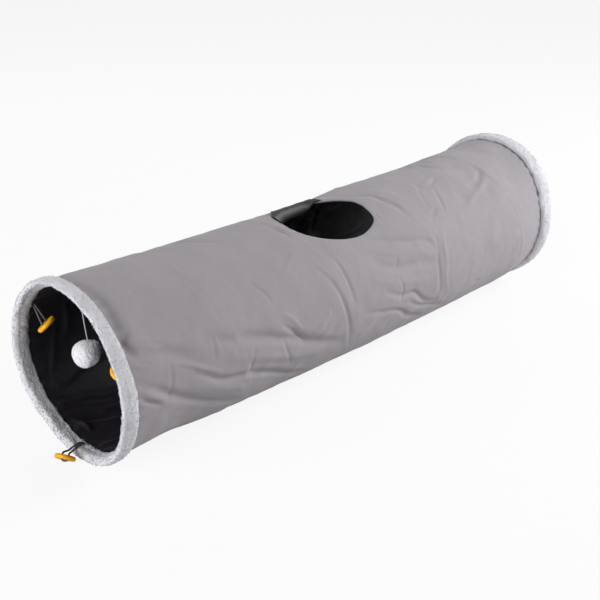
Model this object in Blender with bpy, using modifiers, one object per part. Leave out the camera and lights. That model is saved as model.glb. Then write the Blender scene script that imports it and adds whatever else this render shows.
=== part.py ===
"""Collapsible cat tunnel, 0.90 m long and 0.25 m across, with hanging toys.

A suedette cover and a black lining lie over one long spring wire, which is
closed into a hoop at each end. Plush bands are folded round the hoops. A ball
and three buttons on elastic hang in the near mouth, and tape loops in the far
one take the buttons when the tunnel is folded flat.

Metres, +X along the tunnel from the near mouth to the far one, +Z up, with the
origin on the floor at mid-length.
"""
import math

import bmesh
import bpy
from mathutils import Matrix, Vector

# Overall sizes
TUNNEL_LENGTH = 0.900
RIM_DIAMETER = 0.250
SEAT_GAP = 0.0003
SEWN_GAP = 0.0006
FLOOR_FLAT = 0.0012

# Cover and lining
COVER_STEP = 0.0060
COVER_THICKNESS = 0.0010
LINING_THICKNESS = 0.0006
MIDDLE_SAG = 0.0060
TOP_DIP = 0.0020
DIP_FADE = 0.060

# Spring wire, its sewn channel tape and its end sleeves
WIRE_DIAMETER = 0.0020
HOOP_INSET = 0.0066
HOOP_STEP = 0.0032
HOOP_TAIL = 0.012
COIL_TURNS = 4.75
LEAD_TURNS = 0.5
TAPE_WIDTH = 0.012
TAPE_THICKNESS = 0.0004
TAPE_MARGIN = 0.014
SLEEVE_LENGTH = 0.009
SLEEVE_WALL = 0.0004

# Plush bands
RIM_THICKNESS = 0.011
PLUSH_PILE = 0.0035
OUTER_FLAP = 0.025
INNER_FLAP = 0.020
OUTER_FLAP_EDGE = 0.0215
OUTER_FLAP_RISE = 0.0016
OUTER_FLAP_SINK = 0.0014
INNER_FLAP_RISE = 0.0014
INNER_FLAP_SINK = 0.0011

# Peephole in the top, measured along and across the wall
PEEPHOLE_LENGTH = 0.150
PEEPHOLE_WIDTH = 0.104
PEEPHOLE_OFFSET = 0.004
HEM_DIAMETER = 0.0024

# Toy ball on its string
BALL_DIAMETER = 0.036
STRING_DIAMETER = 0.0014
STRING_FREE_LENGTH = 0.068
KNOT_DIAMETER = 0.0032
BALL_INSET = 0.028
BALL_SIDE = 0.010

# Toggle buttons on their elastic
BUTTON_DIAMETER = 0.028
BUTTON_THICKNESS = 0.0060
BUTTON_DISH_DEPTH = 0.0014
BUTTON_DISH_DIAMETER = 0.017
BUTTON_HOLE_SPACING = 0.0080
BUTTON_HOLE_DIAMETER = 0.0028
ELASTIC_DIAMETER = 0.0020
ELASTIC_STEP = 0.0044
STRAND_SPACING = 0.0028
STRAND_INSET = 0.0245
STRAND_OVER_BAND = 0.0040
LEFT_BUTTON_FORWARD = 0.0040
LEFT_BUTTON_INWARD = 0.0205
LEFT_BUTTON_DROP = 0.0245
RIGHT_BUTTON_FORWARD = 0.0030
RIGHT_BUTTON_INWARD = 0.0184
RIGHT_BUTTON_DROP = 0.0232
BOTTOM_BUTTON_OUT = 0.0369
BOTTOM_BUTTON_ASIDE = 0.0114
BOTTOM_BUTTON_RISE = 0.0031
SEAM_INSET = 0.0225

# Tape loops inside the far mouth
LOOP_TAPE_WIDTH = 0.008
LOOP_TAPE_THICKNESS = 0.0010
LOOP_REACH = 0.030
LOOP_GAP = 0.013

# Cutting tools
CUT_OVERRUN = 0.030

# Counts, angles and shares
SIDES = 36
STEP_ANGLE = math.tau / SIDES
COVER_RINGS = 28
LINING_RINGS = 28
WIRE_START_ANGLE = math.radians(35)
PEEPHOLE_ANGLE = math.radians(14)
PEEPHOLE_TURN = math.radians(15.5)
PEEPHOLE_SQUARENESS = 0.85
PEEPHOLE_POINTS = 40
FIRST_TOGGLE_ANGLE = math.radians(-57)
TOGGLE_COUNT = 3
BALL_GATHER_SHARE = 0.08
BALL_GATHER_WAY = (0.35, -0.45, 0.80)

# Places that follow from the sizes above
NEAR_END = -TUNNEL_LENGTH / 2
FAR_END = TUNNEL_LENGTH / 2
RIM_AXIS_HEIGHT = RIM_DIAMETER / 2 - FLOOR_FLAT
HOOP_RADIUS = RIM_DIAMETER / 2 - RIM_THICKNESS / 2
COVER_RADIUS = RIM_DIAMETER / 2 - COVER_STEP
TAPE_DEPTH = COVER_THICKNESS + SEAT_GAP
WIRE_DEPTH = TAPE_DEPTH + TAPE_THICKNESS + SEAT_GAP + WIRE_DIAMETER / 2
LINING_DEPTH = WIRE_DEPTH + WIRE_DIAMETER / 2 + SEAT_GAP
LINING_INSIDE = LINING_DEPTH + LINING_THICKNESS
HEM_DEPTH = (COVER_THICKNESS + LINING_DEPTH) / 2
FLAP_END_RADIUS = COVER_RADIUS + OUTER_FLAP_RISE
FLAP_END_INSIDE = COVER_RADIUS - OUTER_FLAP_SINK
INNER_END_RADIUS = COVER_RADIUS - LINING_INSIDE + INNER_FLAP_SINK
INNER_END_INSIDE = COVER_RADIUS - LINING_INSIDE - INNER_FLAP_RISE
COVER_SPAN = TUNNEL_LENGTH - 2 * OUTER_FLAP
TOTAL_TURNS = COIL_TURNS + 2
WIRE_SPAN = TUNNEL_LENGTH - 2 * HOOP_INSET
COIL_PITCH = HOOP_STEP + (WIRE_SPAN - HOOP_STEP * TOTAL_TURNS) / (COIL_TURNS - LEAD_TURNS)

COLOURS = {
    "suedette": ((0.40, 0.38, 0.385), 0.9, 0.0),
    "lining": ((0.012, 0.011, 0.013), 0.55, 0.0),
    "plush": ((0.60, 0.60, 0.63), 1.0, 0.0),
    "spring_steel": ((0.45, 0.45, 0.46), 0.35, 1.0),
    "black_tape": ((0.02, 0.02, 0.022), 0.8, 0.0),
    "sleeve": ((0.55, 0.55, 0.56), 0.3, 1.0),
    "toy_plush": ((0.66, 0.66, 0.68), 1.0, 0.0),
    "white_string": ((0.72, 0.70, 0.72), 0.8, 0.0),
    "yellow_plastic": ((0.85, 0.42, 0.02), 0.35, 0.0),
    "black_elastic": ((0.03, 0.03, 0.033), 0.7, 0.0),
}


def clear_scene():
    for existing in list(bpy.data.objects):
        bpy.data.objects.remove(existing, do_unlink=True)


def new_collection(name):
    collection = bpy.data.collections.new(name)
    bpy.context.scene.collection.children.link(collection)
    return collection


def material(name):
    """A plain Principled material with the colour, roughness and metallic value of COLOURS."""
    found = bpy.data.materials.get(name)
    if found:
        return found
    colour, roughness, metallic = COLOURS[name]
    made = bpy.data.materials.new(name)
    made.use_nodes = True
    shader = made.node_tree.nodes["Principled BSDF"]
    shader.inputs["Base Color"].default_value = (*colour, 1)
    shader.inputs["Roughness"].default_value = roughness
    shader.inputs["Metallic"].default_value = metallic
    return made


def add_object(name, data, material_name, collection):
    made = bpy.data.objects.new(name, data)
    if material_name:
        data.materials.append(material(material_name))
    collection.objects.link(made)
    return made


def mesh_object(name, shape, material_name, collection, smooth=True):
    """Turns a bmesh into an object, shaded smooth with sharp edges kept."""
    mesh = bpy.data.meshes.new(name)
    shape.to_mesh(mesh)
    shape.free()
    if smooth:
        mesh.shade_smooth()
        mesh.set_sharp_from_angle(angle=math.radians(40))
    return add_object(name, mesh, material_name, collection)


def modifier(thing, kind, name, **settings):
    made = thing.modifiers.new(name, kind)
    for key, value in settings.items():
        setattr(made, key, value)
    return made


def smooth_step(value):
    """Eases from 0 to 1 as value goes from 0 to 1."""
    value = min(max(value, 0), 1)
    return value * value * (3 - 2 * value)


def coil_advance(turn):
    """Turns of full pitch wound by this turn: none in the end hoops, easing in and out of the coil."""
    done = min(max(turn - 1, 0), COIL_TURNS)
    lead = min(done, LEAD_TURNS)
    tail = max(done - (COIL_TURNS - LEAD_TURNS), 0)
    middle = done - lead - tail
    return lead ** 2 / (2 * LEAD_TURNS) + middle + tail - tail ** 2 / (2 * LEAD_TURNS)


def coil_x(turn):
    return NEAR_END + HOOP_INSET + HOOP_STEP * turn + (COIL_PITCH - HOOP_STEP) * coil_advance(turn)


def from_nearest_end(x):
    return TUNNEL_LENGTH / 2 - abs(x)


def axis_height(x):
    """Height of the tube's centre line, which hangs between the rims until the cover meets the floor."""
    share = 2 * x / COVER_SPAN
    return RIM_AXIS_HEIGHT - MIDDLE_SAG * max(1 - share * share, 0)


def facet_share(angle):
    """Radius of the faceted wall at this angle, as a share of its radius at the facets' edges."""
    across = (angle - WIRE_START_ANGLE) % STEP_ANGLE - STEP_ANGLE / 2
    return math.cos(STEP_ANGLE / 2) / math.cos(across)


def cover_radius(x, angle):
    """Outside of the cover, which dips between the wire's turns, most at the top."""
    first_top_turn = 1 + LEAD_TURNS / 2
    turn = (x - NEAR_END - HOOP_INSET + (COIL_PITCH - HOOP_STEP) * first_top_turn) / COIL_PITCH
    phase = turn - (angle - WIRE_START_ANGLE) / math.tau
    between_turns = (1 - math.cos(math.tau * phase)) / 2
    towards_top = (1 + math.cos(angle)) / 2
    fade = smooth_step((from_nearest_end(x) - OUTER_FLAP) / DIP_FADE)
    return COVER_RADIUS - TOP_DIP * between_turns * towards_top * fade


def wall_point(x, angle, depth):
    """A point of the wall, so far under the cover's outside. Angles run from the top towards -Y."""
    share = facet_share(angle)
    outside = cover_radius(x, angle) * share
    lift = max(outside * -math.cos(angle) - axis_height(x), 0)
    radius = outside - depth * share
    return Vector((x, -radius * math.sin(angle), axis_height(x) + radius * math.cos(angle) + lift))


def wire_depth(x):
    """The wire lies deeper in the coil than in the wider end hoops."""
    ease = smooth_step((from_nearest_end(x) - HOOP_INSET - HOOP_STEP) / (OUTER_FLAP - HOOP_INSET - HOOP_STEP))
    hoop_depth = COVER_RADIUS - HOOP_RADIUS
    return hoop_depth + (WIRE_DEPTH - hoop_depth) * ease


def wire_turns():
    """The turns at which the wire has a point, from the tail of one end hoop to that of the other."""
    tail = math.ceil(HOOP_TAIL / (HOOP_RADIUS * STEP_ANGLE))
    count = round(TOTAL_TURNS * SIDES)
    return [index / SIDES for index in range(-tail, count + tail + 1)]


def wall_shell(name, start, end, rings, depth, thickness, material_name, collection):
    """A sheet rolled to a tube along the wall, given its thickness inwards."""
    shape = bmesh.new()
    bmesh.ops.create_grid(shape, x_segments=rings, y_segments=SIDES, size=1)
    for vertex in shape.verts:
        along = (vertex.co.x + 1) / 2
        around = (vertex.co.y + 1) / 2
        vertex.co = wall_point(start + (end - start) * along, WIRE_START_ANGLE + math.tau * around, depth)
    bmesh.ops.remove_doubles(shape, verts=shape.verts, dist=SEAT_GAP / 10)
    bmesh.ops.recalc_face_normals(shape, faces=shape.faces)
    shell = mesh_object(name, shape, material_name, collection)
    modifier(shell, "SOLIDIFY", "cloth", thickness=thickness, offset=-1, use_even_offset=True)
    return shell


def peephole_outline(grow, count):
    """Points (x, angle) round the peephole's edge, moved outwards by grow."""
    points = []
    for index in range(count):
        turn = math.tau * index / count
        along, across = math.cos(turn), math.sin(turn)
        along = math.copysign(abs(along) ** PEEPHOLE_SQUARENESS, along) * (PEEPHOLE_LENGTH / 2 + grow)
        across = math.copysign(abs(across) ** PEEPHOLE_SQUARENESS, across) * (PEEPHOLE_WIDTH / 2 + grow)
        x = along * math.cos(PEEPHOLE_TURN) - across * math.sin(PEEPHOLE_TURN)
        arc = along * math.sin(PEEPHOLE_TURN) + across * math.cos(PEEPHOLE_TURN)
        points.append((x - PEEPHOLE_OFFSET, PEEPHOLE_ANGLE + arc / COVER_RADIUS))
    return points


def peephole_cutter(collection):
    """A plug that follows the peephole's edge from inside the lining to outside the cover."""
    shape = bmesh.new()
    rings = []
    for depth in (LINING_INSIDE + CUT_OVERRUN, -CUT_OVERRUN):
        ring = []
        for x, angle in peephole_outline(0, PEEPHOLE_POINTS):
            radius = COVER_RADIUS - depth
            place = (x, -radius * math.sin(angle), axis_height(0) + radius * math.cos(angle))
            ring.append(shape.verts.new(place))
        rings.append(ring)
    for index in range(PEEPHOLE_POINTS):
        after = (index + 1) % PEEPHOLE_POINTS
        shape.faces.new((rings[0][index], rings[0][after], rings[1][after], rings[1][index]))
    shape.faces.new(rings[1])
    shape.faces.new(list(reversed(rings[0])))
    bmesh.ops.recalc_face_normals(shape, faces=shape.faces)
    cutter = mesh_object("peephole_cutter", shape, None, collection, smooth=False)
    cutter.hide_render = True
    cutter.display_type = "WIRE"
    return cutter


def cut(thing, cutter):
    modifier(thing, "BOOLEAN", f"cut by {cutter.name}", operation="DIFFERENCE", object=cutter, solver="EXACT")


def tube(name, points, diameter, resolution, material_name, collection, cyclic=False):
    """A round tube along the points, closed by caps or running round into itself."""
    curve = bpy.data.curves.new(name, "CURVE")
    curve.dimensions = "3D"
    curve.bevel_depth = diameter / 2
    curve.bevel_resolution = resolution
    curve.use_fill_caps = not cyclic
    spline = curve.splines.new("POLY")
    spline.points.add(len(points) - 1)
    for target, point in zip(spline.points, points):
        target.co = (*point, 1)
    spline.use_cyclic_u = cyclic
    return add_object(name, curve, material_name, collection)


def spring_wire(collection):
    """One wire: a closed hoop, the open coil and the second hoop."""
    points = [
        wall_point(coil_x(turn), WIRE_START_ANGLE + math.tau * turn, wire_depth(coil_x(turn)))
        for turn in wire_turns()
    ]
    nearest = min(
        (points[first] - points[second]).length
        for first in range(len(points))
        for second in range(first + SIDES // 2, len(points))
    )
    print(f"spring wire: least gap to itself {(nearest - WIRE_DIAMETER) * 1000:.2f} mm")
    return tube("spring_wire", points, WIRE_DIAMETER, 1, "spring_steel", collection)


def channel_tape(collection):
    """The flat tape over the wire's coil, sewn along both sides of it to hold it to the lining."""
    shape = bmesh.new()
    sections = []
    for turn in wire_turns():
        middle = coil_x(turn)
        if from_nearest_end(middle) < OUTER_FLAP + TAPE_MARGIN:
            continue
        angle = WIRE_START_ANGLE + math.tau * turn
        section = []
        for side, depth in ((-1, TAPE_DEPTH), (1, TAPE_DEPTH), (1, TAPE_DEPTH + TAPE_THICKNESS),
                            (-1, TAPE_DEPTH + TAPE_THICKNESS)):
            section.append(shape.verts.new(wall_point(middle + side * TAPE_WIDTH / 2, angle, depth)))
        sections.append(section)
    for first, second in zip(sections, sections[1:]):
        for index in range(4):
            after = (index + 1) % 4
            shape.faces.new((first[index], first[after], second[after], second[index]))
    shape.faces.new(sections[0])
    shape.faces.new(list(reversed(sections[-1])))
    bmesh.ops.recalc_face_normals(shape, faces=shape.faces)
    return mesh_object("wire_channel_tape", shape, "black_tape", collection)


def arc(centre_along, centre_radius, radius, start, end, steps):
    """Points (along, radius) on an arc, from start to end in degrees, 0 pointing into the tunnel."""
    points = []
    for index in range(steps + 1):
        angle = math.radians(start + (end - start) * index / steps)
        points.append((centre_along + radius * math.cos(angle), centre_radius + radius * math.sin(angle)))
    return points


def plush_profile():
    """Section of the plush band: (distance from the mouth, radius), folded round the hoop."""
    nose = RIM_THICKNESS / 2
    middle = RIM_DIAMETER / 2 - nose
    slot = nose - PLUSH_PILE
    profile = arc(nose, middle, nose, 90, 270, 8)
    profile += [(INNER_FLAP - PLUSH_PILE / 2, INNER_END_INSIDE)]
    profile += [(INNER_FLAP, (INNER_END_INSIDE + INNER_END_RADIUS) / 2)]
    profile += [(INNER_FLAP, INNER_END_RADIUS)]
    profile += [(HOOP_INSET + HOOP_STEP + WIRE_DIAMETER, middle - slot)]
    profile += arc(nose, middle, slot, 270, 90, 4)
    profile += [(HOOP_INSET + HOOP_STEP + WIRE_DIAMETER, middle + slot)]
    profile += [(OUTER_FLAP - SEAT_GAP, FLAP_END_INSIDE), (OUTER_FLAP - SEAT_GAP, FLAP_END_RADIUS)]
    profile += [(OUTER_FLAP_EDGE, (FLAP_END_RADIUS + RIM_DIAMETER / 2) / 2)]
    return profile


def plush_rim(name, end, inwards, floor_block, collection):
    """A plush band, turned round the tunnel's axis and pressed flat where it stands."""
    shape = bmesh.new()
    corners = [shape.verts.new((radius, 0, inwards * along)) for along, radius in plush_profile()]
    for first, second in zip(corners, corners[1:] + corners[:1]):
        shape.edges.new((first, second))
    rim = mesh_object(name, shape, "plush", collection, smooth=False)
    modifier(rim, "SCREW", "turn", axis="Z", steps=SIDES, render_steps=SIDES, use_merge_vertices=True,
             merge_threshold=SEAT_GAP / 10, use_smooth_shade=True, use_normal_flip=inwards < 0)
    rim.matrix_world = (Matrix.Translation((end, 0, RIM_AXIS_HEIGHT))
                        @ Matrix.Rotation(STEP_ANGLE / 2, 4, "X") @ Matrix.Rotation(math.pi / 2, 4, "Y"))
    cut(rim, floor_block)
    return rim


def block(name, low, high, collection):
    """A box-shaped cutter between two corners."""
    shape = bmesh.new()
    bmesh.ops.create_cube(shape, size=1)
    size = [b - a for a, b in zip(low, high)]
    centre = [(a + b) / 2 for a, b in zip(low, high)]
    bmesh.ops.scale(shape, vec=size, verts=shape.verts)
    bmesh.ops.translate(shape, vec=centre, verts=shape.verts)
    made = mesh_object(name, shape, None, collection, smooth=False)
    made.hide_render = True
    made.display_type = "WIRE"
    return made


def stadium(half_length, radius, steps):
    """Points of a slot outline with round ends, lying along its X."""
    points = []
    for centre, start in ((half_length, -90), (-half_length, 90)):
        for index in range(steps + 1):
            angle = math.radians(start + 180 * index / steps)
            points.append((centre + radius * math.cos(angle), radius * math.sin(angle)))
    return points


def flat_outline(name, outlines, thickness, material_name, collection):
    """A 2D outline, with holes where further outlines lie inside it, extruded both ways."""
    curve = bpy.data.curves.new(name, "CURVE")
    curve.dimensions = "2D"
    curve.fill_mode = "BOTH"
    curve.extrude = thickness / 2
    for outline in outlines:
        spline = curve.splines.new("POLY")
        spline.points.add(len(outline) - 1)
        for target, (x, y) in zip(spline.points, outline):
            target.co = (x, y, 0, 1)
        spline.use_cyclic_u = True
    return add_object(name, curve, material_name, collection)


def wire_sleeve(name, turn, collection):
    """The crimped sleeve that closes an end hoop, round the wire's two runs side by side."""
    angle = WIRE_START_ANGLE + math.tau * turn
    inside = WIRE_DIAMETER / 2 + SEAT_GAP
    outlines = [stadium(HOOP_STEP / 2, inside + SLEEVE_WALL, 6), stadium(HOOP_STEP / 2, inside, 6)]
    sleeve = flat_outline(name, outlines, SLEEVE_LENGTH, "sleeve", collection)
    neighbour = turn + 1 if turn < 1 else turn - 1
    x = (coil_x(turn) + coil_x(neighbour)) / 2
    out = Vector((0, -math.sin(angle), math.cos(angle)))
    along = Vector((0, -math.cos(angle), -math.sin(angle)))
    turned = Matrix((Vector((1, 0, 0)), out, along)).transposed()
    if turned.determinant() < 0:
        turned = Matrix((Vector((-1, 0, 0)), out, along)).transposed()
    centre = Vector((x, 0, RIM_AXIS_HEIGHT)) + out * HOOP_RADIUS * facet_share(angle)
    sleeve.matrix_world = Matrix.Translation(centre) @ turned.to_4x4()
    return sleeve


def peephole_hem(collection):
    """The rolled edge round the peephole, between the cover and the lining that are sewn to it."""
    points = [
        wall_point(x, angle, HEM_DEPTH)
        for x, angle in peephole_outline(HEM_DIAMETER / 2, PEEPHOLE_POINTS)
    ]
    return tube("peephole_hem", points, HEM_DIAMETER, 1, "lining", collection, cyclic=True)


def smooth_route(points, step):
    """Points at even steps along a smooth curve through the route's own points."""
    padded = [points[0] * 2 - points[1]] + points + [points[-1] * 2 - points[-2]]
    fine = []
    pieces = 16
    for before, first, second, after in zip(padded, padded[1:], padded[2:], padded[3:]):
        for index in range(pieces):
            t = index / pieces
            fine.append(0.5 * (2 * first + (second - before) * t
                               + (2 * before - 5 * first + 4 * second - after) * t ** 2
                               + (3 * first - before - 3 * second + after) * t ** 3))
    fine.append(points[-1])
    lengths = [0.0]
    for first, second in zip(fine, fine[1:]):
        lengths.append(lengths[-1] + (second - first).length)
    count = max(round(lengths[-1] / step), 2)
    even = []
    at = 0
    for index in range(count + 1):
        wanted = lengths[-1] * index / count
        while at < len(fine) - 2 and lengths[at + 1] < wanted:
            at += 1
        span = lengths[at + 1] - lengths[at]
        even.append(fine[at].lerp(fine[at + 1], (wanted - lengths[at]) / span if span else 0))
    return even, lengths[-1]


def toy_ball(collection):
    """The plush ball, a little squashed, with the small lump where its cover is gathered."""
    shape = bmesh.new()
    bmesh.ops.create_uvsphere(shape, u_segments=20, v_segments=12, radius=BALL_DIAMETER / 2)
    gather = Vector(BALL_GATHER_WAY).normalized()
    for vertex in shape.verts:
        lump = max(vertex.co.normalized().dot(gather), 0) ** 12
        vertex.co *= 1 + lump * BALL_GATHER_SHARE
    ball = mesh_object("toy_ball", shape, "toy_plush", collection)
    ball.location = ball_centre()
    return ball


def string_top():
    """Where the ball's knot hangs, just under the lining at the top of the near mouth."""
    angle = math.asin(BALL_SIDE / (COVER_RADIUS - LINING_INSIDE))
    wall = wall_point(NEAR_END + BALL_INSET, angle, LINING_INSIDE)
    return Vector((wall.x, -BALL_SIDE, wall.z - SEAT_GAP - KNOT_DIAMETER / 2))


def ball_centre():
    drop = KNOT_DIAMETER / 2 + STRING_FREE_LENGTH + 2 * SEAT_GAP + BALL_DIAMETER / 2
    return string_top() - Vector((0, 0, drop))


def ball_string(collection):
    top = string_top() - Vector((0, 0, KNOT_DIAMETER / 2 + SEAT_GAP))
    points = [top - Vector((0, 0, STRING_FREE_LENGTH * index / 16)) for index in range(17)]
    return tube("ball_string", points, STRING_DIAMETER, 2, "white_string", collection)


def ball_knot(collection):
    shape = bmesh.new()
    bmesh.ops.create_uvsphere(shape, u_segments=10, v_segments=6, radius=KNOT_DIAMETER / 2)
    knot = mesh_object("ball_knot", shape, "white_string", collection)
    knot.location = string_top()
    return knot


def button_cutters(collection):
    """Two round cutters for a button's holes, in the button's own place at the origin."""
    made = []
    for side in (-1, 1):
        shape = bmesh.new()
        bmesh.ops.create_cone(shape, cap_ends=True, segments=12, radius1=BUTTON_HOLE_DIAMETER / 2,
                              radius2=BUTTON_HOLE_DIAMETER / 2, depth=BUTTON_THICKNESS + CUT_OVERRUN)
        cutter = mesh_object(f"button_hole_{side + 1}", shape, None, collection, smooth=False)
        cutter.location.x = side * BUTTON_HOLE_SPACING / 2
        cutter.hide_render = True
        cutter.display_type = "WIRE"
        made.append(cutter)
    return made


def button_mesh(collection, cutters):
    """A round two-hole button with a full rounded edge and a dished front, facing +Z."""
    edge = BUTTON_THICKNESS / 2
    outer = BUTTON_DIAMETER / 2
    dish = BUTTON_DISH_DIAMETER / 2
    profile = [(0, edge - BUTTON_DISH_DEPTH), (dish - BUTTON_DISH_DEPTH, edge - BUTTON_DISH_DEPTH), (dish, edge)]
    for index in range(6):
        angle = math.radians(90 - 180 * index / 5)
        profile.append((outer - edge + edge * math.cos(angle), edge * math.sin(angle)))
    profile.append((0, -edge))
    shape = bmesh.new()
    corners = [shape.verts.new((radius, 0, height)) for radius, height in profile]
    for first, second in zip(corners, corners[1:]):
        shape.edges.new((first, second))
    pattern = mesh_object("button_pattern", shape, "yellow_plastic", collection, smooth=False)
    modifier(pattern, "SCREW", "turn", axis="Z", steps=24, render_steps=24, use_merge_vertices=True,
             merge_threshold=SEAT_GAP / 10, use_smooth_shade=True)
    for cutter in cutters:
        cut(pattern, cutter)
    bpy.context.view_layer.update()
    evaluated = pattern.evaluated_get(bpy.context.evaluated_depsgraph_get())
    mesh = bpy.data.meshes.new_from_object(evaluated)
    mesh.name = "button"
    bpy.data.objects.remove(pattern, do_unlink=True)
    return mesh


# Each toggle: how its button hangs from its seam, the way the button's front faces, the line of its
# two holes, and for an elastic that goes over the band, shares of the way in to the seam and back across
TOGGLES = {
    "left": {
        "hangs": (LEFT_BUTTON_FORWARD, -LEFT_BUTTON_INWARD, -LEFT_BUTTON_DROP),
        "faces": (0.107, -0.560, -0.822),
        "holes": (0.985, 0.150, 0.026),
        "over_band": (),
    },
    "right": {
        "hangs": (RIGHT_BUTTON_FORWARD, RIGHT_BUTTON_INWARD, -RIGHT_BUTTON_DROP),
        "faces": (0.090, 0.520, -0.849),
        "holes": (0.985, -0.150, 0.026),
        "over_band": (),
    },
    "bottom": {
        "hangs": (-BOTTOM_BUTTON_OUT, -BOTTOM_BUTTON_ASIDE, BOTTOM_BUTTON_RISE),
        "faces": (-0.523, -0.257, -0.812),
        "holes": (0.639, -0.749, -0.175),
        "over_band": ((0.96, 0.0), (0.73, 0.03), (0.37, 0.13), (0.04, 0.33)),
    },
}


def toggle_seat(angle):
    """Where a toggle's elastic is sewn on: the lining's inner side, just behind the near band."""
    return wall_point(NEAR_END + STRAND_INSET, angle, LINING_INSIDE + SEWN_GAP)


def toggle_frame(toggle, angle):
    """The button's centre and its axes: along the holes, across them, and the way its front faces."""
    faces = Vector(toggle["faces"]).normalized()
    holes = Vector(toggle["holes"])
    holes = (holes - faces * holes.dot(faces)).normalized()
    return toggle_seat(angle) + Vector(toggle["hangs"]), holes, faces.cross(holes), faces


def band_top(inset):
    """Height of the band's inner side at the bottom of the near mouth, so far in from the mouth."""
    if inset > INNER_FLAP:
        return wall_point(NEAR_END + inset, math.pi, LINING_INSIDE).z
    nose = RIM_THICKNESS / 2
    share = min(max((inset - nose) / (INNER_FLAP - nose), 0), 1)
    radius = RIM_DIAMETER / 2 - RIM_THICKNESS
    return RIM_AXIS_HEIGHT - radius + (radius - INNER_END_INSIDE) * share


def elastic_route(toggle, angle):
    """From the wall down one strand, through the button and back, and up the other strand."""
    centre, holes, _, faces = toggle_frame(toggle, angle)
    half = BUTTON_HOLE_SPACING / 2
    tangent = Vector((0, math.cos(angle), math.sin(angle)))
    if tangent.dot(holes) < 0:
        tangent = -tangent
    seat = toggle_seat(angle)
    middle = []
    for inwards, sideways in toggle["over_band"]:
        inset = STRAND_INSET * inwards
        side = seat.y + (centre.y - seat.y) * sideways
        middle.append(Vector((NEAR_END + inset, side, band_top(inset) + STRAND_OVER_BAND)))
    strands = []
    for side in (1, -1):
        strand = [seat + tangent * side * STRAND_SPACING / 2]
        for index, point in enumerate(middle):
            apart = (tangent * STRAND_SPACING / 2).lerp(holes * half, (index + 1) / (len(middle) + 1))
            strand.append(point + apart * side)
        for depth in (BUTTON_THICKNESS, BUTTON_THICKNESS / 2):
            strand.append(centre + holes * half * side - faces * depth)
        strands.append(strand)
    turn_base = BUTTON_THICKNESS / 2 - BUTTON_DISH_DEPTH
    turn = []
    for index in range(7):
        around = math.pi * index / 6
        turn.append(centre + faces * (turn_base + half * math.sin(around)) + holes * half * math.cos(around))
    return strands[0] + turn + list(reversed(strands[1]))


def make_toggle(side, toggle, angle, button, collection):
    centre, holes, across, faces = toggle_frame(toggle, angle)
    made = add_object(f"toggle_{side}_button", button, None, collection)
    made.matrix_world = Matrix.Translation(centre) @ Matrix((holes, across, faces)).transposed().to_4x4()
    points, length = smooth_route(elastic_route(toggle, angle), ELASTIC_STEP)
    print(f"toggle_{side}_elastic: {length * 1000:.0f} mm long")
    tube(f"toggle_{side}_elastic", points, ELASTIC_DIAMETER, 2, "black_elastic", collection)


def fold_loop(side, angle, lies_down, collection):
    """A loop of flat tape, both ends sewn in the far rim's seam. It hangs off the wall or lies along it."""
    seat = wall_point(FAR_END - SEAM_INSET - LOOP_TAPE_WIDTH / 2, angle, LINING_INSIDE)
    across = Vector((0, -math.cos(angle), -math.sin(angle)))
    inwards = Vector((0, math.sin(angle), -math.cos(angle)))
    reach = Vector((-1, 0, 0)) if lies_down else inwards
    if lies_down:
        seat += inwards * (LOOP_TAPE_WIDTH / 2 + SEAT_GAP)
    outside, inside = [], []
    half = LOOP_GAP / 2
    straight = LOOP_REACH - half - LOOP_TAPE_THICKNESS
    for index in range(9):
        turn = math.pi * index / 8
        inside.append((half * math.cos(turn), straight + half * math.sin(turn)))
        wide = half + LOOP_TAPE_THICKNESS
        outside.append((wide * math.cos(turn), straight + wide * math.sin(turn)))
    waist = LOOP_TAPE_THICKNESS / 2 + SEAT_GAP
    foot_inside = [(-waist, LOOP_TAPE_THICKNESS), (waist, LOOP_TAPE_THICKNESS)]
    wide_foot = waist + LOOP_TAPE_THICKNESS
    outline = outside + [(-wide_foot, 0), (wide_foot, 0)]
    hole = inside + foot_inside
    loop = flat_outline(f"fold_loop_{side}", [outline, hole], LOOP_TAPE_WIDTH, "black_tape", collection)
    width = across.cross(reach)
    start = seat + reach * SEWN_GAP
    loop.matrix_world = Matrix.Translation(start) @ Matrix((across, reach, width)).transposed().to_4x4()
    return loop


def build():
    clear_scene()
    parts = new_collection("cat_tunnel")
    tools = new_collection("cutters")
    peephole = peephole_cutter(tools)
    floor_block = block("floor_block", (NEAR_END - CUT_OVERRUN, -RIM_DIAMETER, -CUT_OVERRUN),
                        (FAR_END + CUT_OVERRUN, RIM_DIAMETER, 0), tools)

    cover = wall_shell("outer_cover", NEAR_END + OUTER_FLAP, FAR_END - OUTER_FLAP, COVER_RINGS, 0,
                       COVER_THICKNESS, "suedette", parts)
    cut(cover, peephole)
    lining = wall_shell("inner_lining", NEAR_END + INNER_FLAP + SEAT_GAP, FAR_END - INNER_FLAP - SEAT_GAP,
                        LINING_RINGS, LINING_DEPTH, LINING_THICKNESS, "lining", parts)
    cut(lining, peephole)
    peephole_hem(parts)

    spring_wire(parts)
    channel_tape(parts)
    wire_sleeve("near_wire_sleeve", -0.5 / SIDES, parts)
    wire_sleeve("far_wire_sleeve", TOTAL_TURNS + 0.5 / SIDES, parts)
    plush_rim("near_rim_plush", NEAR_END, 1, floor_block, parts)
    plush_rim("far_rim_plush", FAR_END, -1, floor_block, parts)

    ball_knot(parts)
    ball_string(parts)
    toy_ball(parts)

    cutters = button_cutters(tools)
    button = button_mesh(parts, cutters)
    for index, (side, toggle) in enumerate(TOGGLES.items()):
        angle = FIRST_TOGGLE_ANGLE + math.tau * index / TOGGLE_COUNT
        make_toggle(side, toggle, angle, button, parts)
        fold_loop(side, angle, side == "bottom", parts)


build()
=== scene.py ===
import math

import bmesh
import bpy
import numpy as np
from mathutils import Matrix, Vector
from mathutils.kdtree import KDTree


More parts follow.
